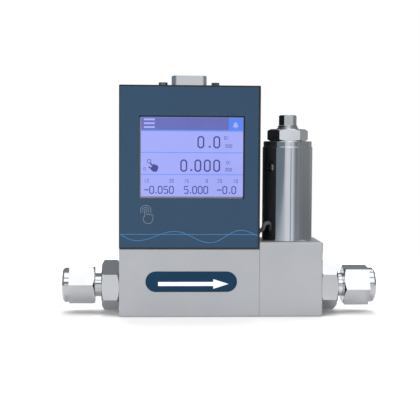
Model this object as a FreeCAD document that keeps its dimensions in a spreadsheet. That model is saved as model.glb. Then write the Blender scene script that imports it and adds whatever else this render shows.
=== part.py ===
import FreeCAD, Part
import math
import os
from types import SimpleNamespace

import Sketcher
from FreeCAD import Placement, Rotation, Vector

# Thermal mass flow meter for gas, with its control valve.
# Frame: X along the flow from inlet to outlet, Z up, front face towards -Y.
# Origin: underside of the blocks, midway along them and midway through their depth.

# Driving sizes in millimetres and degrees
SIZES = {
    # Blocks
    "flow_block_length": 66,
    "flow_block_height": 32,
    "valve_block_length": 30,
    "valve_block_height": 35.2,
    "block_depth": 30,
    "block_edge": 0.5,
    "seam_edge": 0.2,
    "flow_axis_height": 13.3,
    "run_clearance": 0.05,
    # Bores along the gas path
    "main_bore_radius": 7,
    "port_radius": 6.6,
    "port_depth": 12,
    "outlet_port_depth": 9.5,
    "passage_radius": 2.5,
    "port_seal_width": 1.5,
    "seal_groove_depth": 1.3,
    "seal_section_radius": 0.6,
    "seam_seal_radius": 10.4,
    # Screws of the blocks and mounting holes
    "block_screw_side": 11.5,
    "block_screw_low": 3.7,
    "block_screw_high": 27,
    "screw_radius": 1.5,
    "screw_head_radius": 2.75,
    "screw_head_height": 3,
    "screw_socket_width": 2.5,
    "screw_socket_depth": 1.6,
    "block_screw_bite": 8,
    "short_screw_bite": 6,
    "screw_hole_spare": 1,
    "mount_hole_radius": 1.65,
    "mount_hole_depth": 5,
    "mount_hole_spacing": 50,
    # Laminar element and inlet filter
    "channel_radius": 1.2,
    "channel_circle": 4.3,
    "channel_count": 8,
    "tap_groove_width": 3,
    "tap_groove_radius": 5,
    "element_play": 0.1,
    "filter_thickness": 1.6,
    # Thermal sensor
    "tap_spacing": 22,
    "tap_radius": 1,
    "tap_seal_radius": 1.75,
    "tap_seal_section": 0.45,
    "tap_gland_depth": 1,
    "sensor_base_length": 38,
    "sensor_base_depth": 16,
    "sensor_base_height": 5,
    "sensor_screw_x": 16,
    "sensor_screw_y": 5,
    "capillary_radius": 0.5,
    "capillary_bore": 0.3,
    "capillary_rise": 18,
    "capillary_bend": 4,
    "winding_radius": 1.2,
    "winding_length": 6,
    "winding_gap": 2,
    "sensor_cover_length": 26,
    "sensor_cover_depth": 12,
    "sensor_cover_height": 19,
    "sensor_cover_wall": 1,
    # Electronics housing
    "housing_height": 76.5,
    "housing_wall": 1.2,
    "housing_front": 2,
    "housing_edge": 0.4,
    "corner_post": 5.2,
    "corner_post_length": 9,
    "base_opening_margin": 1,
    "housing_screw_inset": 5,
    "cover_thickness": 1.5,
    "cover_gap": 0.15,
    "cover_screw_radius": 1,
    "cover_screw_head": 1.9,
    "cover_screw_length": 7,
    "panel_border": 0.6,
    "panel_shift": -0.28,
    "panel_thickness": 0.5,
    "panel_gap": 0.1,
    # Display
    "window_width": 49.2,
    "window_height": 38.6,
    "window_shift": 1,
    "window_drop": 33.5,
    "window_corner": 0.4,
    "glass_gap": 0.1,
    "glass_recess": 0.4,
    "module_width": 56,
    "module_height": 41.5,
    "module_thickness": 3.6,
    "module_frame": 1.2,
    "module_step": 0.8,
    # Circuit board
    "board_width": 57,
    "board_gap": 0.5,
    "board_front": 8.6,
    "board_thickness": 1.6,
    "spacer_inset": 3,
    "spacer_low": 5.2,
    "spacer_high": 2.4,
    "spacer_radius": 2.4,
    "spacer_stud_length": 1,
    "chip_size": 10,
    "chip_thickness": 1.6,
    "capacitor_radius": 3,
    "capacitor_height": 7,
    "valve_socket_width": 6,
    "valve_socket_depth": 4,
    "valve_socket_height": 5,
    "valve_socket_inset": 9.5,
    "valve_socket_level": 15,
    # Data connector
    "dsub_width": 16.9,
    "dsub_depth": 8.4,
    "dsub_corner": 1.6,
    "dsub_slope": 0.176,
    "dsub_rise": 5.1,
    "dsub_wall": 0.5,
    "dsub_flange_width": 30.8,
    "dsub_flange_depth": 12.5,
    "dsub_flange_thickness": 0.8,
    "dsub_cutout_gap": 0.3,
    "dsub_body_width": 19.2,
    "dsub_body_depth": 10.6,
    "dsub_body_height": 7,
    "contact_pitch": 2.77,
    "contact_row_gap": 2.84,
    "contact_radius": 0.4,
    "contact_hole_radius": 0.55,
    "contact_depth": 1,
    "contact_bend_drop": 1.5,
    "contact_row_drop": 2,
    "jack_spacing": 24.99,
    "jack_width": 3.7,
    "jack_rise": 2,
    "jack_thread_radius": 1.2,
    "jack_thread_depth": 5,
    "jack_stem_radius": 1.75,
    "jack_stem_length": 5,
    # Valve drive
    "valve_offset": 14.5,
    "coil_radius": 12,
    "coil_height": 45,
    "coil_wall": 2.2,
    "coil_floor": 2,
    "coil_edge": 0.3,
    "cap_radius": 11.6,
    "cap_height": 2.6,
    "cap_spigot": 1.5,
    "coil_nut_width": 17,
    "coil_nut_height": 5.8,
    "washer_radius": 5.25,
    "washer_height": 0.7,
    "collar_radius": 4.75,
    "collar_height": 1.1,
    "adjuster_width": 7.4,
    "adjuster_height": 4.9,
    "adjuster_stem_radius": 2.5,
    "adjuster_stem_length": 13,
    "adjuster_tip_radius": 1.6,
    "adjuster_tip_length": 8,
    "bobbin_flange": 1.2,
    "bobbin_wall": 0.9,
    "bobbin_gap": 0.15,
    "winding_recess": 0.5,
    "set_screw_radius": 2.2,
    "set_screw_level": 35.1,
    "set_screw_rise": 0.3,
    "set_screw_dome": 0.46,
    "set_screw_face": 1.4,
    "set_screw_socket": 2,
    "set_screw_azimuth": 220,
    # Valve core
    "tube_radius": 4.75,
    "tube_bore": 4.05,
    "tube_top": 36,
    "tube_flange_radius": 8.4,
    "tube_flange_depth": 6.2,
    "pole_length": 12,
    "pole_bore": 2,
    "armature_gap": 0.08,
    "armature_stroke": 0.5,
    "stroke_spare": 0.1,
    "spring_pocket": 12,
    "seat_height": 1.2,
    "nozzle_radius": 1.5,
    "orifice_radius": 0.6,
    "seat_radius": 3,
    "seat_depth": 5,
    "seat_bore": 1.6,
    "chamber_radius": 6.6,
    "chamber_depth": 13.2,
    "riser_radius": 1.3,
    "riser_offset": 5.1,
    "disc_radius": 2.6,
    "disc_thickness": 1.6,
    "disc_proud": 0.3,
    "spring_wire": 0.25,
    "spring_radius": 1.4,
    "spring_turns": 9,
    "spring_end_gap": 0.05,
    # Compression fittings
    "fitting_hex_width": 21,
    "fitting_hex_length": 8.5,
    "stem_length": 9,
    "neck_radius": 5.65,
    "neck_length": 3.3,
    "fitting_thread_radius": 7.1,
    "fitting_nose_radius": 6.4,
    "fitting_body_reach": 20,
    "tube_socket_radius": 4.85,
    "tube_stop": 12.5,
    "fitting_bore": 3.55,
    "mouth_length": 2.4,
    "nut_width": 17.5,
    "nut_hex_length": 12.2,
    "nut_collar_radius": 8.35,
    "nut_collar_length": 3.2,
    "nut_collar_round": 0.9,
    "nut_shoulder": 3.6,
    "nut_shoulder_drop": 0.9,
    "ferrule_gap": 0.06,
    "front_ferrule_back": 21,
    "back_ferrule_length": 1.6,
    "ferrule_radius": 6.2,
    "inlet_nut_turn": -24,
    "outlet_nut_turn": -23,
    "hex_chamfer": 0.577,
    # Direction plate
    "plate_length": 42.9,
    "plate_height": 9.6,
    "plate_level": 16.65,
    "plate_shift": 0.9,
    "plate_thickness": 0.4,
    "plate_gap": 0.1,
    # Valve lead
    "lead_radius": 0.95,
    "lead_gap": 0.1,
    "lead_side": -7.6,
    "lead_exit_level": 8,
    "lead_entry_level": 8.7,
    "lead_reach": 2.2,
    "lead_azimuth": 215,
    "lead_outside": 2,
    "lead_drop_y": -3,
    "lead_turn_x": 22,
    "grommet_flange_radius": 2.3,
    "grommet_groove_radius": 1.7,
    "grommet_flange": 0.7,
}

HEX_CORNER = 1 / math.sqrt(3)
FILE_LIMIT = 60


class Size:
    """A number together with the sheet expression that gives it."""

    def __init__(self, value, text):
        self.value = value
        self.text = text

    def __add__(self, other):
        return Size(self.value + number(other), f"({self.text} + {words(other)})")

    def __radd__(self, other):
        return Size(number(other) + self.value, f"({words(other)} + {self.text})")

    def __sub__(self, other):
        return Size(self.value - number(other), f"({self.text} - {words(other)})")

    def __rsub__(self, other):
        return Size(number(other) - self.value, f"({words(other)} - {self.text})")

    def __mul__(self, other):
        return Size(self.value * number(other), f"({self.text} * {words(other)})")

    def __rmul__(self, other):
        return Size(number(other) * self.value, f"({words(other)} * {self.text})")

    def __truediv__(self, other):
        return Size(self.value / number(other), f"({self.text} / {words(other)})")

    def __neg__(self):
        return Size(-self.value, f"(0 - {self.text})")


def number(item):
    return item.value if isinstance(item, Size) else float(item)


def words(item):
    return item.text if isinstance(item, Size) else repr(item)


def bind(thing, path, size):
    thing.setExpression(path, words(size))


def point(x, y, z=0.0):
    return Vector(number(x), number(y), number(z))


class Outline:
    """Closed loops in one sketch, each size bound to the sheet."""

    def __init__(self, sketch):
        self.sketch = sketch

    def size(self, kind, *where, value):
        constraint = Sketcher.Constraint(kind, *where, number(value))
        bind(self.sketch, f"Constraints[{self.sketch.addConstraint(constraint)}]", value)

    def fix(self, edge, end, x, y):
        self.size("DistanceX", -1, 1, edge, end, value=x)
        self.size("DistanceY", -1, 1, edge, end, value=y)

    def polygon(self, corners):
        first = self.sketch.GeometryCount
        count = len(corners)
        for here, there in zip(corners, corners[1:] + corners[:1]):
            self.sketch.addGeometry(Part.LineSegment(point(*here), point(*there)), False)
        for i in range(count):
            joint = Sketcher.Constraint("Coincident", first + i, 2, first + (i + 1) % count, 1)
            self.sketch.addConstraint(joint)
        for i, (x, y) in enumerate(corners):
            self.fix(first + i, 1, x, y)
        return self

    def box(self, x0, y0, x1, y1):
        return self.polygon([(x0, y0), (x1, y0), (x1, y1), (x0, y1)])

    def circle(self, x, y, radius):
        ring = Part.Circle(point(x, y), Vector(0, 0, 1), number(radius))
        edge = self.sketch.addGeometry(ring, False)
        self.fix(edge, 3, x, y)
        self.size("Radius", edge, value=radius)
        return self

    def rounded(self, centres, radius):
        """Runs a belt of the given radius round the centres, which turn anticlockwise."""
        reach = number(radius)
        count = len(centres)
        spots = [point(*centre) for centre in centres]
        normals = []
        for here, there in zip(spots, spots[1:] + spots[:1]):
            along = (there - here).normalize()
            normals.append(Vector(along.y, -along.x, 0))
        lines = []
        arcs = []
        for i in range(count):
            there = (i + 1) % count
            run = Part.LineSegment(spots[i] + normals[i] * reach, spots[there] + normals[i] * reach)
            lines.append(self.sketch.addGeometry(run, False))
        for i in range(count):
            start = math.atan2(normals[i - 1].y, normals[i - 1].x)
            end = math.atan2(normals[i].y, normals[i].x)
            ring = Part.Circle(spots[i], Vector(0, 0, 1), reach)
            arcs.append(self.sketch.addGeometry(Part.ArcOfCircle(ring, start, end), False))
        for i in range(count):
            self.sketch.addConstraint(Sketcher.Constraint("Tangent", lines[i - 1], 2, arcs[i], 1))
            self.sketch.addConstraint(Sketcher.Constraint("Tangent", arcs[i], 2, lines[i], 1))
        for arc, (x, y) in zip(arcs, centres):
            self.fix(arc, 3, x, y)
            self.size("Radius", arc, value=radius)
        return self


class Piece:
    """One sub-part: a body with its own sketches and features."""

    def __init__(self, name):
        self.name = name
        self.doc = FreeCAD.ActiveDocument
        self.body = self.doc.addObject("PartDesign::Body", name)
        self.body.Label = name
        self.steps = 0

    def add(self, kind, word):
        self.steps += 1
        return self.body.newObject(kind, f"{self.name}_{word}{self.steps}")

    def sketch(self, role, offset=0.0):
        sketch = self.add("Sketcher::SketchObject", "sketch")
        plane = next(item for item in self.body.Origin.OriginFeatures if item.Role == role)
        sketch.AttachmentSupport = [(plane, "")]
        sketch.MapMode = "FlatFace"
        bind(sketch, "AttachmentOffset.Base.z", offset)
        return Outline(sketch)

    def front(self, offset=0.0):
        """Sketch seen from the front: across is X, up is Z, offset towards the front."""
        return self.sketch("XZ_Plane", offset)

    def side(self, offset=0.0):
        """Sketch seen from the outlet: across is Y, up is Z, offset towards the outlet."""
        return self.sketch("YZ_Plane", offset)

    def top(self, offset=0.0):
        """Sketch seen from above: across is X, up the sheet is Y, offset upwards."""
        return self.sketch("XY_Plane", offset)

    def pad(self, outline, length, both=False, back=False):
        feature = self.add("PartDesign::Pad", "pad")
        feature.Profile = outline.sketch
        bind(feature, "Length", length)
        feature.Midplane = both
        feature.Reversed = back
        self.doc.recompute()
        return self

    def cut(self, outline, depth, both=False, back=False):
        """Pockets the outline away from its own normal, or along it when back is set."""
        before = self.body.Shape.Volume
        feature = self.add("PartDesign::Pocket", "pocket")
        feature.Profile = outline.sketch
        bind(feature, "Length", depth)
        feature.Midplane = both
        feature.Reversed = back
        return self.check_cut(feature, before)

    def turn(self, outline, axis):
        feature = self.add("PartDesign::Revolution", "turn")
        feature.Profile = outline.sketch
        feature.ReferenceAxis = (outline.sketch, [axis])
        feature.Angle = 360
        self.doc.recompute()
        return self

    def groove(self, outline, axis):
        before = self.body.Shape.Volume
        feature = self.add("PartDesign::Groove", "groove")
        feature.Profile = outline.sketch
        feature.ReferenceAxis = (outline.sketch, [axis])
        feature.Angle = 360
        return self.check_cut(feature, before)

    def check_cut(self, feature, before):
        self.doc.recompute()
        if self.body.Shape.Volume >= before:
            raise RuntimeError(f"{feature.Name} removes nothing")
        self.last = feature
        return self

    def ring_pattern(self, outline, count):
        """Repeats the last cut round the normal of its outline."""
        pattern = self.add("PartDesign::PolarPattern", "ring")
        pattern.Originals = [self.last]
        pattern.Axis = (outline.sketch, ["N_Axis"])
        pattern.Angle = 360
        bind(pattern, "Occurrences", count)
        self.body.Tip = pattern
        self.doc.recompute()
        return self

    def bevel(self, size, chosen, kind="PartDesign::Chamfer"):
        """Chamfers or rounds the edges that the given test picks."""
        base = self.body.Tip
        edges = base.Shape.Edges
        names = [f"Edge{i + 1}" for i, edge in enumerate(edges) if chosen(edge)]
        feature = self.add(kind, "edge")
        feature.Base = (base, names)
        bind(feature, "Size" if kind.endswith("Chamfer") else "Radius", size)
        self.doc.recompute()
        return self

    def place(self, x=0.0, y=0.0, z=0.0, turn=None):
        if turn is not None:
            self.body.Placement = Placement(Vector(), turn)
        for axis, size in zip("xyz", (x, y, z)):
            bind(self.body, f"Placement.Base.{axis}", size)
        return self


def middle(edge):
    return edge.CenterOfMass


def flat_hexagon(width):
    """Corners of a hexagon with two flats across the first sketch axis."""
    half = width / 2
    corner = width * HEX_CORNER
    return [
        (half, corner / 2),
        (0, corner),
        (-half, corner / 2),
        (-half, -corner / 2),
        (0, -corner),
        (half, -corner / 2),
    ]


def upright_hexagon(width):
    """Corners of a hexagon with two flats across the second sketch axis."""
    return [(-y, x) for x, y in flat_hexagon(width)]


def chamfer_triangle(width, end, step, slope, swap=False):
    """Profile that takes the corners off a hexagonal bar at its end, going back by step."""
    inner = width * 0.49
    outer = width * 0.62
    reach = (outer - inner) * slope
    corners = [(end, inner), (end, outer), (end + step * reach, outer)]
    return [(y, x) for x, y in corners] if swap else corners


def derive(S):
    """Places that several pieces share, from the driving sizes."""
    half = (S.flow_block_length + S.valve_block_length) / 2
    level = S.flow_axis_height
    return SimpleNamespace(
        left=-half,
        right=half,
        seam=S.flow_block_length - half,
        house_x=S.flow_block_length / 2 - half,
        valve_x=S.flow_block_length - half + S.valve_offset,
        valve_block_x=half - S.valve_block_length / 2,
        front=S.block_depth / 2,
        level=level,
        seal_outer=S.port_radius + S.port_seal_width,
        cap_top=S.coil_height + S.cap_height,
        nut_top=S.coil_height + S.cap_height + S.coil_nut_height,
        gap_z=S.tube_top - S.pole_length,
        nozzle_z=S.seat_height - S.chamber_depth,
        sensor_wall=S.sensor_cover_wall,
        screw_hole=S.screw_radius + S.run_clearance,
        housing_screw_x=S.flow_block_length / 2 - S.housing_screw_inset,
        window_level=S.housing_height - S.window_drop,
        board_low=S.housing_wall + S.corner_post + S.board_gap,
        board_high=S.housing_height - S.housing_wall - S.corner_post - S.board_gap,
        board_back=S.board_front + S.board_thickness,
        socket_x=S.board_width / 2 - S.valve_socket_inset,
        inner_front=S.block_depth / 2 - S.housing_front,
        cover_inside=S.block_depth / 2 - S.cover_thickness,
        dsub_body_low=-(S.housing_wall + S.dsub_flange_thickness + S.dsub_body_height),
    )


def block_screw_spots(S):
    side = S.block_screw_side
    return [(y, z) for z in (S.block_screw_low, S.block_screw_high) for y in (-side, side)]


def sensor_screw_spots(S):
    return [(x, y) for x in (-S.sensor_screw_x, S.sensor_screw_x) for y in (-S.sensor_screw_y, S.sensor_screw_y)]


def stadium_centres(length, height, x, y):
    reach = (length - height) / 2
    return [(x - reach, y), (x + reach, y)]


def flow_block(S, P):
    """Block that carries the laminar element, the sensor and the electronics."""
    half = S.flow_block_length / 2
    height = S.flow_block_height
    piece = Piece("flow_block")
    piece.pad(piece.front().box(-half, 0, half, height), S.block_depth, both=True)
    seam = number(half)
    piece.bevel(S.block_edge, lambda edge: middle(edge).x < seam - 0.01)
    piece.bevel(S.seam_edge, lambda edge: abs(middle(edge).x - seam) < 0.01)
    level = S.flow_axis_height
    piece.cut(piece.side(half).circle(0, level, S.main_bore_radius), S.flow_block_length - S.port_depth)
    port_reach = S.port_depth + S.screw_hole_spare
    piece.cut(piece.side(-half).circle(0, level, S.port_radius), port_reach, back=True)
    piece.cut(piece.side(-half).circle(0, level, P.seal_outer), S.seal_groove_depth, back=True)
    taps = piece.top(height)
    glands = piece.top(height)
    for x in (-S.tap_spacing / 2, S.tap_spacing / 2):
        taps.circle(x, 0, S.tap_radius)
        glands.circle(x, 0, S.tap_seal_radius + S.tap_seal_section + S.run_clearance)
    piece.cut(taps, height - level)
    piece.cut(glands, S.tap_gland_depth)
    holes = piece.top(height)
    for x, y in sensor_screw_spots(S):
        holes.circle(x, y, P.screw_hole)
    for x in (-P.housing_screw_x, P.housing_screw_x):
        holes.circle(x, 0, P.screw_hole)
    piece.cut(holes, S.short_screw_bite + S.screw_hole_spare)
    ends = piece.side(half)
    for y, z in block_screw_spots(S):
        ends.circle(y, z, P.screw_hole)
    piece.cut(ends, S.block_screw_bite + S.screw_hole_spare)
    feet = piece.top()
    for x in (-S.mount_hole_spacing / 2, S.mount_hole_spacing / 2):
        feet.circle(x, 0, S.mount_hole_radius)
    piece.cut(feet, S.mount_hole_depth, back=True)
    recess = piece.front(P.front).rounded(
        stadium_centres(S.plate_length, S.plate_height, S.plate_shift, S.plate_level),
        S.plate_height / 2 + S.plate_gap,
    )
    piece.cut(recess, S.plate_thickness)
    return piece.place(x=P.house_x)


def valve_block(S, P):
    """Block that carries the valve and the outlet."""
    half = S.valve_block_length / 2
    height = S.valve_block_height
    axis = S.valve_offset - half
    level = S.flow_axis_height
    piece = Piece("valve_block")
    piece.pad(piece.front().box(-half, 0, half, height), S.block_depth, both=True)
    seam = -number(half)
    piece.bevel(S.block_edge, lambda edge: middle(edge).x > seam + 0.01)
    piece.bevel(S.seam_edge, lambda edge: abs(middle(edge).x - seam) < 0.01)
    groove = piece.side(-half)
    groove.circle(0, level, S.seam_seal_radius - S.seal_section_radius - S.run_clearance)
    groove.circle(0, level, S.seam_seal_radius + S.seal_section_radius + S.run_clearance)
    piece.cut(groove, S.seal_groove_depth, back=True)
    inlet_reach = S.valve_offset - S.riser_offset + S.riser_radius
    piece.cut(piece.side(-half).circle(0, level, S.passage_radius), inlet_reach, back=True)
    piece.cut(piece.side(half).circle(0, level, S.port_radius), S.outlet_port_depth)
    piece.cut(piece.side(half).circle(0, level, P.seal_outer), S.seal_groove_depth)
    outlet_reach = S.valve_block_length - S.valve_offset + S.seat_bore
    piece.cut(piece.side(half).circle(0, level, S.passage_radius), outlet_reach)
    holes = piece.side(half)
    sinks = piece.side(half)
    for y, z in block_screw_spots(S):
        holes.circle(y, z, P.screw_hole)
        sinks.circle(y, z, S.screw_head_radius + S.run_clearance)
    piece.cut(holes, S.valve_block_length)
    piece.cut(sinks, S.screw_head_height + S.run_clearance)
    piece.cut(piece.top(height).circle(axis, 0, S.tube_flange_radius + S.run_clearance), S.tube_flange_depth)
    piece.cut(piece.top(height).circle(axis, 0, S.chamber_radius), S.chamber_depth)
    gland = piece.top(height - S.tube_flange_depth)
    gland.circle(axis, 0, S.tube_flange_radius + S.run_clearance)
    piece.cut(gland, S.seal_groove_depth)
    piece.cut(piece.top(height).circle(axis - S.riser_offset, 0, S.riser_radius), height - level)
    piece.cut(piece.top(height).circle(axis, 0, S.seat_radius), S.chamber_depth + S.seat_depth)
    piece.cut(piece.top(height).circle(axis, 0, S.seat_bore), height - level)
    return piece.place(x=P.valve_block_x)


def cap_screw(name, S, bite, head_radius, head_height):
    """Socket cap screw along Z, the underside of its head at zero."""
    piece = Piece(name)
    radius = S.screw_radius
    tip = radius * 0.2
    profile = piece.front().polygon([
        (0, -bite),
        (radius - tip, -bite),
        (radius, tip - bite),
        (radius, 0),
        (head_radius, 0),
        (head_radius, head_height - tip),
        (head_radius - tip, head_height),
        (0, head_height),
    ])
    piece.turn(profile, "V_Axis")
    piece.cut(piece.top(head_height).polygon(upright_hexagon(S.screw_socket_width)), S.screw_socket_depth)
    return piece


def group(name, master, places):
    """Identical pieces in one node, each at its own place."""
    FreeCAD.ActiveDocument.recompute()
    copies = []
    for place in places:
        copy = master.body.Shape.copy()
        copy.Placement = place
        copies.append(copy)
    node = FreeCAD.ActiveDocument.addObject("Part::Feature", name)
    node.Label = name
    node.Shape = Part.makeCompound(copies)
    return node


def torus(name, ring, section, x=0.0, y=0.0, z=0.0, turn=None):
    ring_object = FreeCAD.ActiveDocument.addObject("Part::Torus", name)
    ring_object.Label = name
    bind(ring_object, "Radius1", ring)
    bind(ring_object, "Radius2", section)
    if turn is not None:
        ring_object.Placement = Placement(Vector(), turn)
    for axis, size in zip("xyz", (x, y, z)):
        bind(ring_object, f"Placement.Base.{axis}", size)
    return ring_object


def block_screws(S, P):
    length = S.valve_block_length - S.screw_head_height - S.run_clearance + S.block_screw_bite
    master = cap_screw("block_screw_master", S, length, S.screw_head_radius, S.screw_head_height)
    turn = Rotation(Vector(0, 1, 0), 90)
    seat = P.right - S.screw_head_height - S.run_clearance
    places = [Placement(point(seat, y, z), turn) for y, z in block_screw_spots(S)]
    return group("block_screws", master, places)


def sensor_screws(S, P):
    master = cap_screw("sensor_screw_master", S, S.sensor_base_height + S.short_screw_bite,
                       S.screw_head_radius, S.screw_head_height)
    seat = S.flow_block_height + S.sensor_base_height
    places = [Placement(point(P.house_x + x, y, seat), Rotation()) for x, y in sensor_screw_spots(S)]
    return group("sensor_screws", master, places)


def housing_screws(S, P):
    master = cap_screw("housing_screw_master", S, S.housing_wall + S.short_screw_bite,
                       S.screw_head_radius, S.screw_head_height)
    seat = S.flow_block_height + S.housing_wall
    places = [Placement(point(P.house_x + x, 0, seat), Rotation()) for x in (-P.housing_screw_x, P.housing_screw_x)]
    return group("housing_screws", master, places)


def seals(S, P):
    """Rubber rings of the gas path."""
    across = Rotation(Vector(0, 1, 0), 90)
    section = S.seal_section_radius
    port_ring = S.port_radius + S.port_seal_width / 2
    depth = S.seal_groove_depth / 2
    torus("inlet_seal", port_ring, section, x=P.left + depth, z=P.level, turn=across)
    torus("outlet_seal", port_ring, section, x=P.right - depth, z=P.level, turn=across)
    torus("block_seal", S.seam_seal_radius, section, x=P.seam + depth, z=P.level, turn=across)
    gland_ring = S.tube_flange_radius - section - S.run_clearance
    gland_level = S.valve_block_height - S.tube_flange_depth - depth
    torus("core_seal", gland_ring, section, x=P.valve_x, z=gland_level)
    master = Piece("tap_seal_master")
    depth = S.tap_gland_depth / 2
    master.turn(master.front().circle(S.tap_seal_radius, 0, S.tap_seal_section), "V_Axis")
    level = S.flow_block_height - depth
    places = [Placement(point(P.house_x + x, 0, level), Rotation()) for x in (-S.tap_spacing / 2, S.tap_spacing / 2)]
    group("tap_seals", master, places)


def laminar_element(S, P):
    """Flow splitter: a bar with channels and two ring grooves under the sensor taps."""
    length = S.flow_block_length - S.port_depth - S.element_play
    start = S.port_depth - S.flow_block_length / 2
    piece = Piece("laminar_element")
    piece.pad(piece.side(start).circle(0, 0, S.main_bore_radius - S.run_clearance), length)
    channel = piece.side(start).circle(S.channel_circle, 0, S.channel_radius)
    piece.cut(channel, length, back=True)
    piece.ring_pattern(channel, S.channel_count)
    piece.cut(piece.side(start).circle(0, 0, S.channel_radius), length, back=True)
    for centre in (-S.tap_spacing / 2, S.tap_spacing / 2):
        low = centre - S.tap_groove_width / 2
        high = centre + S.tap_groove_width / 2
        ring = piece.front().box(low, S.tap_groove_radius, high, S.main_bore_radius + S.run_clearance)
        piece.groove(ring, "H_Axis")
    return piece.place(x=P.house_x, z=P.level)


def inlet_filter(S, P):
    """Sintered disc between the inlet stem and the laminar element."""
    piece = Piece("inlet_filter")
    rim = S.filter_thickness / 4
    radius = S.port_radius - S.run_clearance
    piece.turn(piece.front().polygon([
        (-S.filter_thickness, 0),
        (0, 0),
        (0, radius),
        (rim - S.filter_thickness, radius),
        (-S.filter_thickness, radius - rim),
    ]), "H_Axis")
    return piece.place(x=P.left + S.port_depth, z=P.level)


def fitting_body(name, S):
    """Stem, hexagon and threaded tube end of a compression fitting, pointing along +X."""
    piece = Piece(name)
    hex_end = S.fitting_hex_length
    neck_end = hex_end + S.neck_length
    reach = S.fitting_body_reach
    mouth = reach - S.mouth_length
    stem = S.port_radius - S.run_clearance
    socket = S.tube_socket_radius
    edge = S.run_clearance * 8
    piece.turn(piece.front().polygon([
        (-S.stem_length, S.fitting_bore),
        (-S.stem_length, stem - edge),
        (edge - S.stem_length, stem),
        (-S.seal_groove_depth, stem),
        (hex_end, stem),
        (hex_end, S.neck_radius),
        (neck_end, S.neck_radius),
        (neck_end, S.fitting_thread_radius),
        (reach - edge, S.fitting_thread_radius),
        (reach, S.fitting_nose_radius),
        (reach, S.ferrule_radius),
        (mouth, socket),
        (S.tube_stop, socket),
        (S.tube_stop, S.fitting_bore),
    ]), "H_Axis")
    hexagon = piece.side().polygon(flat_hexagon(S.fitting_hex_width))
    hexagon.circle(0, 0, S.neck_radius)
    piece.pad(hexagon, hex_end)
    width = S.fitting_hex_width
    for end, step in ((0, 1), (hex_end, -1)):
        piece.groove(piece.front().polygon(chamfer_triangle(width, end, step, S.hex_chamfer)), "H_Axis")
    return piece


def fitting_nut(name, S):
    """Nut with a round collar; its hexagon starts past the neck of the body, chamfered on that side."""
    piece = Piece(name)
    start = S.fitting_hex_length + S.neck_length - S.ferrule_gap
    hex_end = start + S.nut_hex_length
    end = hex_end + S.nut_collar_length
    thread = S.fitting_thread_radius + S.run_clearance
    bore = S.tube_socket_radius
    shoulder = end - S.nut_shoulder
    rounding = S.nut_collar_round
    lip = S.run_clearance * 6
    profile = [
        (start, thread),
        (start, S.nut_collar_radius - rounding),
        (hex_end - rounding, S.nut_collar_radius),
        (end - rounding, S.nut_collar_radius),
        (end, S.nut_collar_radius - rounding),
        (end, bore + lip),
        (end - lip, bore),
        (shoulder, bore),
        (shoulder - S.nut_shoulder_drop, thread - lip),
        (shoulder - S.nut_shoulder_drop - lip, thread),
    ]
    piece.turn(piece.front().polygon(profile), "H_Axis")
    hexagon = piece.side(start).polygon(flat_hexagon(S.nut_width))
    hexagon.circle(0, 0, thread + lip)
    piece.pad(hexagon, S.nut_hex_length)
    corners = chamfer_triangle(S.nut_width, start, 1, S.hex_chamfer)
    piece.groove(piece.front().polygon(corners), "H_Axis")
    return piece


def front_ferrule(name, S):
    """Cone ring that seals on the tube inside the body's mouth."""
    piece = Piece(name)
    mouth = S.fitting_body_reach - S.mouth_length
    gap = S.ferrule_gap
    back = S.front_ferrule_back
    piece.turn(piece.front().polygon([
        (mouth + gap * 4, S.tube_socket_radius),
        (mouth + gap * 4, S.tube_socket_radius + gap),
        (S.fitting_body_reach, S.ferrule_radius - gap),
        (back, S.ferrule_radius - gap),
        (back, S.tube_socket_radius + gap * 8),
        (back - gap * 8, S.tube_socket_radius),
    ]), "H_Axis")
    return piece


def back_ferrule(name, S):
    """Ring that grips the tube behind the front ferrule."""
    piece = Piece(name)
    start = S.front_ferrule_back + S.ferrule_gap
    end = start + S.back_ferrule_length
    gap = S.ferrule_gap
    piece.turn(piece.front().polygon([
        (start - gap * 6, S.tube_socket_radius),
        (start, S.tube_socket_radius + gap * 6),
        (start, S.ferrule_radius - gap * 2),
        (end - gap * 4, S.ferrule_radius - gap * 2),
        (end, S.ferrule_radius - gap * 6),
        (end, S.tube_socket_radius),
    ]), "H_Axis")
    return piece


def fittings(S, P):
    """The inlet and outlet fittings: body, nut and two ferrules each."""
    ends = (("inlet", P.left, True, S.inlet_nut_turn), ("outlet", P.right, False, S.outlet_nut_turn))
    for word, x, mirrored, nut_turn in ends:
        facing = Rotation(Vector(0, 0, 1), 180 if mirrored else 0)
        spun = facing.multiply(Rotation(Vector(1, 0, 0), number(nut_turn)))
        fitting_body(f"{word}_fitting", S).place(x=x, z=P.level, turn=facing)
        fitting_nut(f"{word}_nut", S).place(x=x, z=P.level, turn=spun)
        front_ferrule(f"{word}_front_ferrule", S).place(x=x, z=P.level, turn=facing)
        back_ferrule(f"{word}_back_ferrule", S).place(x=x, z=P.level, turn=facing)


def direction_plate(S, P):
    """Thin plate with round ends, let into the front of the flow block."""
    piece = Piece("direction_plate")
    centres = stadium_centres(S.plate_length, S.plate_height, S.plate_shift, S.plate_level)
    piece.pad(piece.front(P.front).rounded(centres, S.plate_height / 2), S.plate_thickness, back=True)
    return piece.place(x=P.house_x)


def on_housing(piece, S, P):
    """Places a piece that was drawn from the middle of the housing's underside."""
    return piece.place(x=P.house_x, z=S.flow_block_height)


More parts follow.
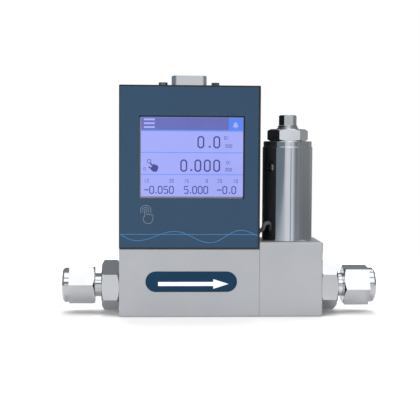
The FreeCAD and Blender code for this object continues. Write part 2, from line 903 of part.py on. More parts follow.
def sensor_base(S, P):
    piece = Piece("sensor_base")
    half = S.sensor_base_length / 2
    deep = S.sensor_base_depth / 2
    piece.pad(piece.top().box(-half, -deep, half, deep), S.sensor_base_height)
    edge = number(S.sensor_base_height) / 2
    piece.bevel(S.base_opening_margin, lambda item: abs(middle(item).z - edge) < 0.01, "PartDesign::Fillet")
    holes = piece.top(S.sensor_base_height)
    for x, y in sensor_screw_spots(S):
        holes.circle(x, y, P.screw_hole)
    for x in (-S.tap_spacing / 2, S.tap_spacing / 2):
        holes.circle(x, 0, S.capillary_radius + S.run_clearance)
    piece.cut(holes, S.sensor_base_height)
    return on_housing(piece, S, P)


def pipe_path(points, radii):
    """Straight runs through the points, joined by tangent arcs of the given radii."""
    edges = []
    start = points[0]
    for before, here, after, radius in zip(points, points[1:], points[2:], radii):
        into = (here - before).normalize()
        out = (after - here).normalize()
        half_turn = into.getAngle(out) / 2
        back = radius * math.tan(half_turn)
        first = here - into * back
        last = here + out * back
        inward = (out - into).normalize()
        centre = here + inward * (radius / math.cos(half_turn))
        edges.append(Part.LineSegment(start, first).toShape())
        edges.append(Part.Arc(first, centre - inward * radius, last).toShape())
        start = last
    edges.append(Part.LineSegment(start, points[-1]).toShape())
    return Part.Wire(edges)


def swept(path, radius):
    """Solid rod of the given radius along the path."""
    first = path.Edges[0]
    start = first.valueAt(first.FirstParameter)
    along = first.tangentAt(first.FirstParameter)
    ring = Part.Wire([Part.Circle(start, along, radius).toShape()])
    return path.makePipeShell([ring], True, False)


def feature(name, shape, place=None):
    node = FreeCAD.ActiveDocument.addObject("Part::Feature", name)
    node.Label = name
    node.Shape = shape
    if place is not None:
        node.Placement = place
    return node


def capillary_tube(S, P):
    """Fine tube that rises from one tap, crosses above the base and drops to the other."""
    half = S.tap_spacing / 2
    points = [point(-half, 0, 0), point(-half, 0, S.capillary_rise), point(half, 0, S.capillary_rise), point(half, 0, 0)]
    bends = [number(S.capillary_bend)] * 2
    path = pipe_path(points, bends)
    tube = swept(path, number(S.capillary_radius)).cut(swept(path, number(S.capillary_bore)))
    return feature("capillary_tube", tube, Placement(point(P.house_x, 0, S.flow_block_height), Rotation()))


def sensor_windings(S, P):
    """Two heater windings side by side on the level run of the capillary."""
    master = Piece("winding_master")
    inner = S.capillary_radius + S.run_clearance
    master.turn(master.front().box(0, inner, S.winding_length, S.winding_radius), "H_Axis")
    level = S.flow_block_height + S.capillary_rise
    starts = (S.winding_gap / 2, -S.winding_gap / 2 - S.winding_length)
    places = [Placement(point(P.house_x + x, 0, level), Rotation()) for x in starts]
    return group("sensor_windings", master, places)


def sensor_cover(S, P):
    """Cover open underneath, over the capillary."""
    piece = Piece("sensor_cover")
    half = S.sensor_cover_length / 2
    deep = S.sensor_cover_depth / 2
    wall = S.sensor_cover_wall
    base = S.sensor_base_height
    piece.pad(piece.top(base).box(-half, -deep, half, deep), S.sensor_cover_height)
    low = number(base) + 0.01
    piece.bevel(wall, lambda edge: middle(edge).z > low, "PartDesign::Fillet")
    hollow = piece.top(base).box(wall - half, wall - deep, half - wall, deep - wall)
    piece.cut(hollow, S.sensor_cover_height - wall, back=True)
    return on_housing(piece, S, P)


def dsub_centres(S):
    """Corner centres of the connector's outline, its narrow side to the front."""
    corner = S.dsub_corner
    deep = S.dsub_depth / 2 - corner
    wide = S.dsub_width / 2 - corner
    narrow = wide - (S.dsub_depth - corner * 2) * S.dsub_slope
    return [(-narrow, -deep), (narrow, -deep), (wide, deep), (-wide, deep)]


def post_spots(S):
    x = S.flow_block_length / 2 - S.housing_wall - S.corner_post / 2
    low = S.housing_wall + S.corner_post / 2
    return [(side * x, z) for side in (-1, 1) for z in (low, S.housing_height - low)]


def spacer_spots(S, P):
    across = S.board_width / 2 - S.spacer_inset
    levels = (P.board_low + S.spacer_low, P.board_high - S.spacer_high)
    return [(x, z) for x in (-across, across) for z in levels]


def housing(S, P):
    """Case of the electronics: front, sides, top and base in one, open at the back."""
    half = S.flow_block_length / 2
    wall = S.housing_wall
    high = S.housing_height
    piece = Piece("housing")
    piece.pad(piece.front().box(-half, 0, half, high), S.block_depth, both=True)
    piece.bevel(S.housing_edge, lambda edge: True, "PartDesign::Fillet")
    room = piece.front(-P.front).box(wall - half, wall, half - wall, high - wall)
    piece.cut(room, S.block_depth - S.housing_front, back=True)
    posts = piece.front(-P.cover_inside)
    bolts = piece.front(-P.cover_inside)
    reach = S.corner_post / 2
    for x, z in post_spots(S):
        posts.box(x - reach, z - reach, x + reach, z + reach)
        bolts.circle(x, z, S.cover_screw_radius + S.run_clearance)
    piece.pad(posts, S.corner_post_length)
    piece.cut(bolts, S.cover_screw_length, back=True)
    border = S.panel_border
    shift = S.panel_shift
    panel = piece.front(P.front).box(border - half + shift, border, half - border + shift, high - border)
    piece.cut(panel, S.panel_thickness)
    piece.cut(piece.front(P.front).rounded(window_centres(S, P), S.window_corner), S.housing_front)
    studs = piece.front(P.inner_front)
    for x, z in spacer_spots(S, P):
        studs.circle(x, z, P.screw_hole)
    piece.cut(studs, S.spacer_stud_length + S.run_clearance, back=True)
    lead = piece.side(half).circle(S.lead_side, S.lead_exit_level, S.grommet_groove_radius)
    piece.cut(lead, wall)
    margin = S.base_opening_margin
    open_x = S.sensor_base_length / 2 + margin
    open_y = S.sensor_base_depth / 2 + margin
    floor = piece.top(wall).box(-open_x, -open_y, open_x, open_y)
    for x in (-P.housing_screw_x, P.housing_screw_x):
        floor.circle(x, 0, P.screw_hole)
    piece.cut(floor, wall)
    roof = piece.top(high).rounded(dsub_centres(S), S.dsub_corner + S.dsub_cutout_gap)
    for x in (-S.jack_spacing / 2, S.jack_spacing / 2):
        roof.circle(x, 0, S.jack_stem_radius + S.run_clearance)
    piece.cut(roof, wall)
    return on_housing(piece, S, P)


def window_centres(S, P):
    across = S.window_width / 2 - S.window_corner
    up = S.window_height / 2 - S.window_corner
    x = S.window_shift
    z = P.window_level
    return [(x - across, z - up), (x + across, z - up), (x + across, z + up), (x - across, z + up)]


def front_panel(S, P):
    """Blue overlay let into the front of the housing, with the opening for the display."""
    inset = S.panel_border + S.panel_gap
    half = S.flow_block_length / 2 - inset
    shift = S.panel_shift
    piece = Piece("front_panel")
    sheet = piece.front(P.front).box(shift - half, inset, half + shift, S.housing_height - inset)
    sheet.rounded(window_centres(S, P), S.window_corner)
    piece.pad(sheet, S.panel_thickness, back=True)
    return on_housing(piece, S, P)


def display_glass(S, P):
    """Touch glass in the window, a little below the overlay."""
    piece = Piece("display_glass")
    face = P.front - S.glass_recess
    pane = piece.front(face).rounded(window_centres(S, P), S.window_corner - S.glass_gap)
    piece.pad(pane, S.housing_front - S.glass_recess, back=True)
    return on_housing(piece, S, P)


def display_module(S, P):
    """Display behind the front wall, with a stepped frame at its back."""
    piece = Piece("display_module")
    across = S.module_width / 2
    up = S.module_height / 2
    x = S.window_shift
    z = P.window_level
    piece.pad(piece.front(P.inner_front).box(x - across, z - up, x + across, z + up), S.module_thickness, back=True)
    rim = S.module_frame
    back = piece.front(P.inner_front - S.module_thickness)
    back.box(x - across + rim, z - up + rim, x + across - rim, z + up - rim)
    piece.cut(back, S.module_step, back=True)
    return on_housing(piece, S, P)


def rear_cover(S, P):
    """Plate that closes the back, flush with the housing."""
    piece = Piece("rear_cover")
    inset = S.housing_wall + S.cover_gap
    half = S.flow_block_length / 2 - inset
    plate = piece.front(-P.front).box(-half, inset, half, S.housing_height - inset)
    piece.pad(plate, S.cover_thickness)
    rise = S.cover_screw_head - S.cover_screw_radius
    for x, z in post_spots(S):
        hole = piece.front(-P.front).circle(x, z, S.cover_screw_radius + S.run_clearance)
        piece.cut(hole, S.cover_thickness, back=True)
    face = number(P.front)
    narrow = number(S.cover_screw_radius + S.run_clearance)
    rim = lambda edge: abs(middle(edge).y - face) < 0.01 and is_ring(edge, narrow)
    piece.bevel(rise, rim)
    return on_housing(piece, S, P)


def is_ring(edge, radius):
    return isinstance(edge.Curve, Part.Circle) and abs(edge.Curve.Radius - radius) < 0.01


def cover_screws(S, P):
    """Countersunk screws of the rear cover, their heads flush with it."""
    master = Piece("cover_screw_master")
    radius = S.cover_screw_radius
    head = S.cover_screw_head
    master.turn(master.front().polygon([
        (0, -S.cover_screw_length),
        (radius, -S.cover_screw_length),
        (radius, radius - head),
        (head, 0),
        (0, 0),
    ]), "V_Axis")
    socket = master.top()
    arm = head * 0.62
    slot = head * 0.11
    socket.polygon([
        (slot, slot), (slot, arm), (-slot, arm), (-slot, slot), (-arm, slot), (-arm, -slot),
        (-slot, -slot), (-slot, -arm), (slot, -arm), (slot, -slot), (arm, -slot), (arm, slot),
    ])
    master.cut(socket, head * 0.4)
    turn = Rotation(Vector(1, 0, 0), -90)
    places = []
    for x, z in post_spots(S):
        places.append(Placement(point(P.house_x + x, P.front, S.flow_block_height + z), turn))
    return group("cover_screws", master, places)


def main_board(S, P):
    piece = Piece("main_board")
    half = S.board_width / 2
    outline = piece.front(-S.board_front).box(-half, P.board_low, half, P.board_high)
    for x, z in spacer_spots(S, P):
        outline.circle(x, z, P.screw_hole)
    piece.pad(outline, S.board_thickness, back=True)
    return on_housing(piece, S, P)


def board_spacers(S, P):
    """Posts between the front wall and the board."""
    master = Piece("spacer_master")
    length = P.inner_front + S.board_front
    stud = S.screw_radius
    master.turn(master.front().polygon([
        (0, -S.spacer_stud_length),
        (stud, -S.spacer_stud_length),
        (stud, 0),
        (S.spacer_radius, 0),
        (S.spacer_radius, length),
        (P.screw_hole, length),
        (P.screw_hole, length - S.short_screw_bite),
        (0, length - S.short_screw_bite),
    ]), "V_Axis")
    turn = Rotation(Vector(1, 0, 0), -90)
    places = []
    for x, z in spacer_spots(S, P):
        places.append(Placement(point(P.house_x + x, -P.inner_front, S.flow_block_height + z), turn))
    return group("board_spacers", master, places)


def board_screws(S, P):
    bite = S.board_thickness + S.short_screw_bite - S.screw_hole_spare
    master = cap_screw("board_screw_master", S, bite, S.screw_head_radius, S.screw_head_height * 0.8)
    turn = Rotation(Vector(1, 0, 0), -90)
    places = []
    for x, z in spacer_spots(S, P):
        places.append(Placement(point(P.house_x + x, P.board_back, S.flow_block_height + z), turn))
    return group("board_screws", master, places)


def board_spot(S, P, across, up):
    """A place on the board, as shares of its width and height from its middle."""
    middle_z = (P.board_low + P.board_high) / 2
    return S.board_width * across, middle_z + (P.board_high - P.board_low) * up


def board_chips(S, P):
    """Flat circuits on the front of the board."""
    spots = ((-0.25, -0.07, 1.2), (0.07, -0.04, 1.0), (0.25, 0.18, 0.6), (-0.28, 0.25, 0.5), (-0.04, 0.25, 0.6))
    piece = Piece("board_chips")
    outline = piece.front(-S.board_front)
    for across, up, share in spots:
        x, z = board_spot(S, P, across, up)
        reach = S.chip_size * share / 2
        outline.box(x - reach, z - reach, x + reach, z + reach)
    piece.pad(outline, S.chip_thickness)
    return on_housing(piece, S, P)


def board_capacitors(S, P):
    """Round capacitors standing on the front of the board."""
    master = Piece("capacitor_master")
    radius = S.capacitor_radius
    high = S.capacitor_height
    rim = radius * 0.1
    master.turn(master.front().polygon([
        (0, 0),
        (radius, 0),
        (radius, high * 0.12),
        (radius - rim, high * 0.16),
        (radius, high * 0.2),
        (radius, high - rim),
        (radius - rim, high),
        (0, high),
    ]), "V_Axis")
    turn = Rotation(Vector(1, 0, 0), 90)
    spots = ((0.39, -0.1), (0.39, 0.04), (-0.39, -0.26))
    places = []
    for across, up in spots:
        x, z = board_spot(S, P, across, up)
        places.append(Placement(point(P.house_x + x, S.board_front, S.flow_block_height + z), turn))
    return group("board_capacitors", master, places)


def valve_socket(S, P):
    """Socket on the board that the valve lead plugs into."""
    piece = Piece("valve_socket")
    half = S.valve_socket_width / 2
    x = P.socket_x
    z = S.valve_socket_level
    up = S.valve_socket_height / 2
    outline = piece.front(-S.board_front).box(x - half, z - up, x + half, z + up)
    piece.pad(outline, S.valve_socket_depth)
    return on_housing(piece, S, P)


def on_roof(piece, S, P):
    """Places a piece that was drawn from the middle of the housing's top."""
    return piece.place(x=P.house_x, z=S.flow_block_height + S.housing_height)


def connector_shell(S, P):
    """Metal shell of the data connector: flange under the roof and its trapezoid collar."""
    piece = Piece("connector_shell")
    centres = dsub_centres(S)
    half = S.dsub_flange_width / 2
    deep = S.dsub_flange_depth / 2
    flange = piece.top(-S.housing_wall - S.dsub_flange_thickness)
    flange.box(-half, -deep, half, deep)
    flange.rounded(centres, S.dsub_corner - S.dsub_wall)
    for x in (-S.jack_spacing / 2, S.jack_spacing / 2):
        flange.circle(x, 0, S.jack_stem_radius + S.run_clearance)
    piece.pad(flange, S.dsub_flange_thickness)
    collar = piece.top(-S.housing_wall).rounded(centres, S.dsub_corner)
    collar.rounded(centres, S.dsub_corner - S.dsub_wall)
    piece.pad(collar, S.housing_wall + S.dsub_rise)
    return on_roof(piece, S, P)


def contact_spots(S):
    """The five contacts of the wide row and the four of the narrow row."""
    pitch = S.contact_pitch
    row = S.contact_row_gap / 2
    wide = [(pitch * (i - 2), row, 1) for i in range(5)]
    narrow = [(pitch * (i - 1.5), -row, 0) for i in range(4)]
    return wide + narrow


def connector_insert(S, P):
    """Plastic insert with the contact holes, and its body under the flange."""
    piece = Piece("connector_insert")
    gap = S.run_clearance
    half = S.dsub_body_width / 2
    deep = S.dsub_body_depth / 2
    low = P.dsub_body_low
    height = S.dsub_body_height - gap
    piece.pad(piece.top(low).box(-half, -deep, half, deep), height)
    collar = piece.top(low + height).rounded(dsub_centres(S), S.dsub_corner - S.dsub_wall - gap)
    rise = S.housing_wall + S.dsub_flange_thickness + S.dsub_rise - gap * 6
    piece.pad(collar, rise)
    holes = piece.top(S.dsub_rise)
    for x, y, row in contact_spots(S):
        holes.circle(x, y, S.contact_hole_radius)
    piece.cut(holes, S.dsub_rise - low)
    return on_roof(piece, S, P)


def connector_contacts(S, P):
    """Contacts that drop through the insert and turn back into the board."""
    radius = number(S.contact_radius)
    rods = []
    for x, y, row in contact_spots(S):
        drop = P.dsub_body_low - S.contact_bend_drop - S.contact_row_drop * (1 - row)
        points = [point(x, y, S.dsub_rise - S.contact_depth), point(x, y, drop), point(x, S.board_front, drop)]
        rods.append(swept(pipe_path(points, [radius * 2]), radius))
    place = Placement(point(P.house_x, 0, S.flow_block_height + S.housing_height), Rotation())
    return feature("connector_contacts", Part.makeCompound(rods), place)


def jack_posts(S, P):
    """Hexagonal posts with threads for the plug's screws."""
    master = Piece("jack_master")
    stem = S.jack_stem_radius
    master.pad(master.top(-S.jack_stem_length).circle(0, 0, stem), S.jack_stem_length)
    master.pad(master.top().polygon(upright_hexagon(S.jack_width)), S.jack_rise)
    corners = chamfer_triangle(S.jack_width, S.jack_rise, -1, S.hex_chamfer, swap=True)
    master.groove(master.front().polygon(corners), "V_Axis")
    master.cut(master.top(S.jack_rise).circle(0, 0, S.jack_thread_radius), S.jack_thread_depth)
    roof = S.flow_block_height + S.housing_height
    places = []
    for side, angle in ((-1, 0), (1, 30)):
        spot = point(P.house_x + side * S.jack_spacing / 2, 0, roof)
        places.append(Placement(spot, Rotation(Vector(0, 0, 1), angle)))
    return group("jack_posts", master, places)


def on_valve(piece, S, P):
    """Places a piece that was drawn from the valve axis at the top of the valve block."""
    return piece.place(x=P.valve_x, z=S.valve_block_height)


def side_hole(piece, S, level, radius, azimuth):
    """Cuts a round hole through the coil housing's wall at an azimuth."""
    tool = piece.body.newObject("PartDesign::SubtractiveCylinder", f"{piece.name}_hole_{round(number(level))}")
    bind(tool, "Radius", radius)
    bind(tool, "Height", S.coil_radius)
    around = Rotation(Vector(0, 0, 1), number(azimuth))
    spin = around.multiply(Rotation(Vector(0, 1, 0), 90))
    start = around.multVec(point(S.coil_radius - S.coil_wall * 2, 0))
    tool.AttachmentSupport = None
    tool.Placement = Placement(Vector(start.x, start.y, number(level)), spin)
    piece.doc.recompute()
    return piece


def coil_housing(S, P):
    """Turned can round the coil, with holes for the set screw and the lead."""
    piece = Piece("coil_housing")
    outer = S.coil_radius
    inner = outer - S.coil_wall
    edge = S.coil_edge
    hole = S.tube_radius + S.run_clearance
    piece.turn(piece.front().polygon([
        (hole, 0),
        (outer - edge, 0),
        (outer, edge),
        (outer, S.coil_height - edge),
        (outer - edge, S.coil_height),
        (inner, S.coil_height),
        (inner, S.coil_floor),
        (hole, S.coil_floor),
    ]), "V_Axis")
    before = piece.body.Shape.Volume
    side_hole(piece, S, S.set_screw_level, S.set_screw_radius + S.run_clearance, S.set_screw_azimuth)
    side_hole(piece, S, S.lead_entry_level, S.lead_radius + S.lead_gap, S.lead_azimuth)
    if piece.body.Shape.Volume >= before:
        raise RuntimeError("the side holes remove nothing")
    return on_valve(piece, S, P)


def coil_bobbin(S, P):
    """Spool of the coil."""
    piece = Piece("coil_bobbin")
    inner = S.tube_radius + S.run_clearance
    core = inner + S.bobbin_wall
    outer = S.coil_radius - S.coil_wall - S.bobbin_gap
    low = S.coil_floor
    high = S.coil_height - S.cap_spigot - S.bobbin_gap
    flange = S.bobbin_flange
    piece.turn(piece.front().polygon([
        (inner, low),
        (outer, low),
        (outer, low + flange),
        (core, low + flange),
        (core, high - flange),
        (outer, high - flange),
        (outer, high),
        (inner, high),
    ]), "V_Axis")
    return on_valve(piece, S, P)


def coil_winding(S, P):
    """Copper winding between the spool's flanges."""
    piece = Piece("coil_winding")
    inner = S.tube_radius + S.run_clearance * 2 + S.bobbin_wall
    outer = S.coil_radius - S.coil_wall - S.bobbin_gap - S.winding_recess
    low = S.coil_floor + S.bobbin_flange + S.run_clearance
    high = S.coil_height - S.cap_spigot - S.bobbin_gap - S.bobbin_flange - S.run_clearance
    piece.turn(piece.front().box(inner, low, outer, high), "V_Axis")
    return on_valve(piece, S, P)


def coil_cap(S, P):
    """Lid of the can, with a spigot inside it."""
    piece = Piece("coil_cap")
    hole = S.tube_radius + S.run_clearance
    spigot = S.coil_radius - S.coil_wall - S.run_clearance
    low = S.coil_height
    edge = S.coil_edge
    piece.turn(piece.front().polygon([
        (hole, low - S.cap_spigot),
        (spigot, low - S.cap_spigot),
        (spigot, low),
        (S.cap_radius, low),
        (S.cap_radius, P.cap_top - edge),
        (S.cap_radius - edge, P.cap_top),
        (hole, P.cap_top),
    ]), "V_Axis")
    return on_valve(piece, S, P)


def coil_nut(S, P):
    """Hexagon nut that clamps the can down, chamfered at both ends."""
    piece = Piece("coil_nut")
    outline = piece.top(P.cap_top).polygon(upright_hexagon(S.coil_nut_width))
    outline.circle(0, 0, S.tube_radius + S.run_clearance)
    piece.pad(outline, S.coil_nut_height)
    for end, step in ((P.cap_top, 1), (P.nut_top, -1)):
        corners = chamfer_triangle(S.coil_nut_width, end, step, S.hex_chamfer, swap=True)
        piece.groove(piece.front().polygon(corners), "V_Axis")
    return on_valve(piece, S, P)


def adjuster_washer(S, P):
    piece = Piece("adjuster_washer")
    inner = S.adjuster_stem_radius + S.run_clearance
    edge = S.washer_height / 3
    outer = S.washer_radius
    piece.turn(piece.front().polygon([
        (inner, P.nut_top),
        (outer, P.nut_top),
        (outer, P.nut_top + S.washer_height - edge),
        (outer - edge, P.nut_top + S.washer_height),
        (inner, P.nut_top + S.washer_height),
    ]), "V_Axis")
    return on_valve(piece, S, P)


def adjusting_screw(S, P):
    """Screw that sets the spring: hexagon head, round collar, stem and tip."""
    piece = Piece("adjusting_screw")
    low = P.nut_top + S.washer_height
    head = low + S.collar_height
    stem = S.adjuster_stem_radius
    tip = S.adjuster_tip_radius
    stem_low = low - S.adjuster_stem_length
    slope = S.collar_height / 3
    piece.turn(piece.front().polygon([
        (0, stem_low - S.adjuster_tip_length),
        (tip, stem_low - S.adjuster_tip_length),
        (tip, stem_low),
        (stem, stem_low),
        (stem, low),
        (S.collar_radius, low),
        (S.collar_radius, head - slope),
        (S.collar_radius - slope, head),
        (0, head),
    ]), "V_Axis")
    piece.pad(piece.top(head).polygon(upright_hexagon(S.adjuster_width)), S.adjuster_height)
    top = head + S.adjuster_height
    corners = chamfer_triangle(S.adjuster_width, top, -1, S.hex_chamfer, swap=True)
    piece.groove(piece.front().polygon(corners), "V_Axis")
    return on_valve(piece, S, P)


def set_screw(S, P):
    """Domed socket screw in the side of the coil housing."""
    piece = Piece("coil_set_screw")
    start = S.coil_radius - S.coil_wall
    end = S.coil_radius + S.set_screw_rise
    radius = S.set_screw_radius
    piece.turn(piece.front().polygon([
        (start, 0),
        (end, 0),
        (end, S.set_screw_face),
        (end - S.set_screw_dome, radius),
        (start, radius),
    ]), "H_Axis")
    depth = (S.coil_wall + S.set_screw_rise) * 0.7
    piece.cut(piece.side(end).polygon(flat_hexagon(S.set_screw_socket)), depth)
    turn = Rotation(Vector(0, 0, 1), number(S.set_screw_azimuth))
    return piece.place(x=P.valve_x, z=S.valve_block_height + S.set_screw_level, turn=turn)


def core_tube(S, P):
    """Guide tube of the armature with its flange in the valve block."""
    piece = Piece("core_tube")
    bore = S.tube_bore
    flange = S.tube_flange_radius
    low = -S.tube_flange_depth
    edge = S.coil_edge
    piece.turn(piece.front().polygon([
        (bore, low),
        (flange, low),
        (flange, -edge),
        (flange - edge, 0),
        (S.tube_radius, 0),
        (S.tube_radius, S.tube_top),
        (bore, S.tube_top),
    ]), "V_Axis")
    return on_valve(piece, S, P)


def pole_piece(S, P):
    """Fixed core that closes the guide tube and carries the nut's thread."""
    piece = Piece("pole_piece")
    fit = S.tube_bore - S.run_clearance
    wide = S.adjuster_stem_radius + S.run_clearance
    step = P.nut_top + S.washer_height - S.adjuster_stem_length - S.stroke_spare
    piece.turn(piece.front().polygon([
        (S.pole_bore, P.gap_z),
        (fit, P.gap_z),
        (fit, S.tube_top),
        (S.tube_radius, S.tube_top),
        (S.tube_radius, P.nut_top - S.coil_edge),
        (S.tube_radius - S.coil_edge, P.nut_top),
        (wide, P.nut_top),
        (wide, step),
        (S.pole_bore, step),
    ]), "V_Axis")
    return on_valve(piece, S, P)


def armature(S, P):
    """Plunger that lifts off the nozzle, with a spring pocket and a disc pocket."""
    piece = Piece("armature")
    radius = S.tube_bore - S.armature_gap
    top = P.gap_z - S.armature_stroke - S.stroke_spare
    low = P.nozzle_z + S.disc_proud
    pocket = S.spring_radius + S.spring_wire + S.armature_gap * 2
    disc = S.disc_radius
    edge = S.coil_edge
    piece.turn(piece.front().polygon([
        (0, low + S.disc_thickness - S.disc_proud),
        (disc, low + S.disc_thickness - S.disc_proud),
        (disc, low),
        (radius - edge, low),
        (radius, low + edge),
        (radius, top - edge),
        (radius - edge, top),
        (pocket, top),
        (pocket, top - S.spring_pocket),
        (0, top - S.spring_pocket),
    ]), "V_Axis")
    return on_valve(piece, S, P)


def sealing_disc(S, P):
    """Rubber disc in the foot of the armature, resting on the nozzle."""
    piece = Piece("sealing_disc")
    low = P.nozzle_z
    radius = S.disc_radius
    piece.turn(piece.front().box(0, low, radius, low + S.disc_thickness), "V_Axis")
    return on_valve(piece, S, P)


def valve_seat(S, P):
    """Seat insert with its raised nozzle and fine orifice."""
    piece = Piece("valve_seat")
    floor = -S.chamber_depth
    low = floor - S.seat_depth
    radius = S.seat_radius - S.run_clearance
    piece.turn(piece.front().polygon([
        (S.seat_bore, low),
        (radius, low),
        (radius, floor),
        (S.nozzle_radius + S.coil_edge, floor),
        (S.nozzle_radius, P.nozzle_z),
        (S.orifice_radius, P.nozzle_z),
        (S.orifice_radius, floor - S.seat_height),
        (S.seat_bore, floor - S.seat_height * 2),
    ]), "V_Axis")
    return on_valve(piece, S, P)


def valve_spring(S, P):
    """Return spring between the armature's pocket and the adjusting screw's tip."""
    gap = number(S.spring_end_gap)
    wire = number(S.spring_wire)
    radius = number(S.spring_radius)
    low = number(P.gap_z - S.armature_stroke - S.stroke_spare - S.spring_pocket) + gap + wire
    tip = P.nut_top + S.washer_height - S.adjuster_stem_length - S.adjuster_tip_length
    high = number(tip) - gap - wire
    turns = number(S.spring_turns)
    helix = Part.makeHelix((high - low) / turns, high - low, radius)
    ring = Part.Wire([Part.Circle(Vector(radius, 0, 0), Vector(0, 1, 0), wire).toShape()])
    coil = Part.Wire(helix.Edges).makePipeShell([ring], True, True)
    place = Placement(point(P.valve_x, 0, S.valve_block_height + low), Rotation())
    return feature("valve_spring", coil, place)


def lead_points(S, P):
    """Route of the valve lead from the board, out of the housing and into the coil."""
    socket = point(P.house_x + P.socket_x, S.board_front - S.valve_socket_depth,
                   S.flow_block_height + S.valve_socket_level)
    exit_level = number(S.flow_block_height + S.lead_exit_level)
    side = number(S.lead_side)
    azimuth = math.radians(number(S.lead_azimuth))
    outward = Vector(math.cos(azimuth), math.sin(azimuth), 0)
    axis = point(P.valve_x, 0, S.valve_block_height + S.lead_entry_level)
    reach = number(S.coil_radius + S.lead_reach)
    end = number(S.coil_radius - S.coil_wall)
    return [
        socket,
        point(P.house_x + P.socket_x, S.lead_drop_y, S.flow_block_height + S.valve_socket_level),
        point(P.house_x + S.lead_turn_x, side, exit_level),
        point(P.seam + S.lead_outside, side, exit_level),
        axis + outward * reach,
        axis + outward * end,
    ]


def bend_radii(points):
    """Largest arc that each corner's two runs leave room for."""
    radii = []
    for before, here, after in zip(points, points[1:], points[2:]):
        into = here - before
        out = after - here
        shorter = min(into.Length, out.Length)
        radii.append(0.45 * shorter / math.tan(into.getAngle(out) / 2))
    return radii


def valve_lead(S, P):
    """Two-core lead of the coil, held at the board, in the grommet and in the coil housing."""
    points = lead_points(S, P)
    radii = bend_radii(points)
    path = pipe_path(points, radii)
    lead = swept(path, number(S.lead_radius))
    ideal = path.Length * math.pi * number(S.lead_radius) ** 2
    print("lead radii", [round(radius, 2) for radius in radii])
    print("lead length", round(path.Length, 2), "volume ratio", round(lead.Volume / ideal, 4))
    return feature("valve_lead", lead)


def lead_grommet(S, P):
    """Rubber bush of the lead in the housing's side."""
    piece = Piece("lead_grommet")
    wall = S.housing_wall
    inner = S.lead_radius + S.run_clearance
    gap = S.run_clearance
    flange = S.grommet_flange
    piece.turn(piece.front().polygon([
        (-wall - flange - gap, inner),
        (-wall - flange - gap, S.grommet_flange_radius),
        (-wall - gap, S.grommet_flange_radius),
        (-wall - gap, S.grommet_groove_radius - gap),
        (gap, S.grommet_groove_radius - gap),
        (gap, S.grommet_flange_radius),
        (gap + flange / 2, S.grommet_flange_radius),
        (gap + flange, S.grommet_groove_radius),
        (gap + flange, inner),
    ]), "H_Axis")
    return piece.place(x=P.seam, y=S.lead_side, z=S.flow_block_height + S.lead_exit_level)


def build(S, P):
    """Makes every sub-part."""
    flow_block(S, P)
    valve_block(S, P)
    block_screws(S, P)
    seals(S, P)
    laminar_element(S, P)
    inlet_filter(S, P)
    fittings(S, P)
    direction_plate(S, P)
    sensor_base(S, P)
    sensor_screws(S, P)
    capillary_tube(S, P)
    sensor_windings(S, P)
    sensor_cover(S, P)
    housing(S, P)
    housing_screws(S, P)
    front_panel(S, P)
    display_glass(S, P)
    display_module(S, P)
    rear_cover(S, P)
    cover_screws(S, P)
    main_board(S, P)
    board_spacers(S, P)
    board_screws(S, P)
    board_chips(S, P)
    board_capacitors(S, P)
    valve_socket(S, P)
    connector_shell(S, P)
    connector_insert(S, P)
    connector_contacts(S, P)
    jack_posts(S, P)
    coil_housing(S, P)
    coil_bobbin(S, P)
    coil_winding(S, P)
    coil_cap(S, P)
    coil_nut(S, P)
    adjuster_washer(S, P)
    adjusting_screw(S, P)
    set_screw(S, P)
    core_tube(S, P)
    pole_piece(S, P)
    armature(S, P)
    sealing_disc(S, P)
    valve_seat(S, P)
    valve_spring(S, P)
    valve_lead(S, P)
    lead_grommet(S, P)


def make_sheet(doc):
    """Fills the sheet with the driving sizes and returns them by name."""
    sheet = doc.addObject("Spreadsheet::Sheet", "Sizes")
    sizes = {}
    for row, (name, value) in enumerate(SIZES.items(), start=1):
        sheet.set(f"A{row}", name)
        sheet.set(f"B{row}", str(value))
        sheet.setAlias(f"B{row}", name)
        sizes[name] = Size(float(value), f"Sizes.{name}")
    doc.recompute()
    return SimpleNamespace(**sizes)


def sub_parts(doc):
    """The objects that are written out, by label."""
    kinds = ("PartDesign::Body", "Part::Feature", "Part::Torus")
    return [item for item in doc.Objects if item.TypeId in kinds and not item.Label.endswith("_master")]


def check(doc):
    """Stops if anything failed to compute or a sub-part has no sound shape."""
    for item in doc.Objects:
        if "Invalid" in item.State or "Error" in item.State:
            raise RuntimeError(f"{item.Name} failed: {item.State}")
    parts = sub_parts(doc)
    if len(parts) > FILE_LIMIT:
        raise RuntimeError(f"{len(parts)} sub-parts are more than {FILE_LIMIT}")
    for item in parts:
        shape = item.Shape
        if shape.isNull() or not shape.isValid() or not shape.Solids:
            raise RuntimeError(f"{item.Label} has no sound shape")


def write(doc):
    os.makedirs("parts", exist_ok=True)
    for item in sub_parts(doc):
        item.Shape.exportStep(f"parts/{item.Label}.step")


def main():
    doc = FreeCAD.newDocument("flow_meter")
    sizes = make_sheet(doc)
    places = derive(sizes)
    build(sizes, places)
    doc.recompute()
    check(doc)
    write(doc)
    print(len(sub_parts(doc)), "sub-parts written")


main()
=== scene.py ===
"""Look of a gas mass flow meter with its display housing and its solenoid control valve."""

import logging
import math
from dataclasses import dataclass
from enum import Enum

import bmesh
import bpy
from mathutils import Matrix, Vector


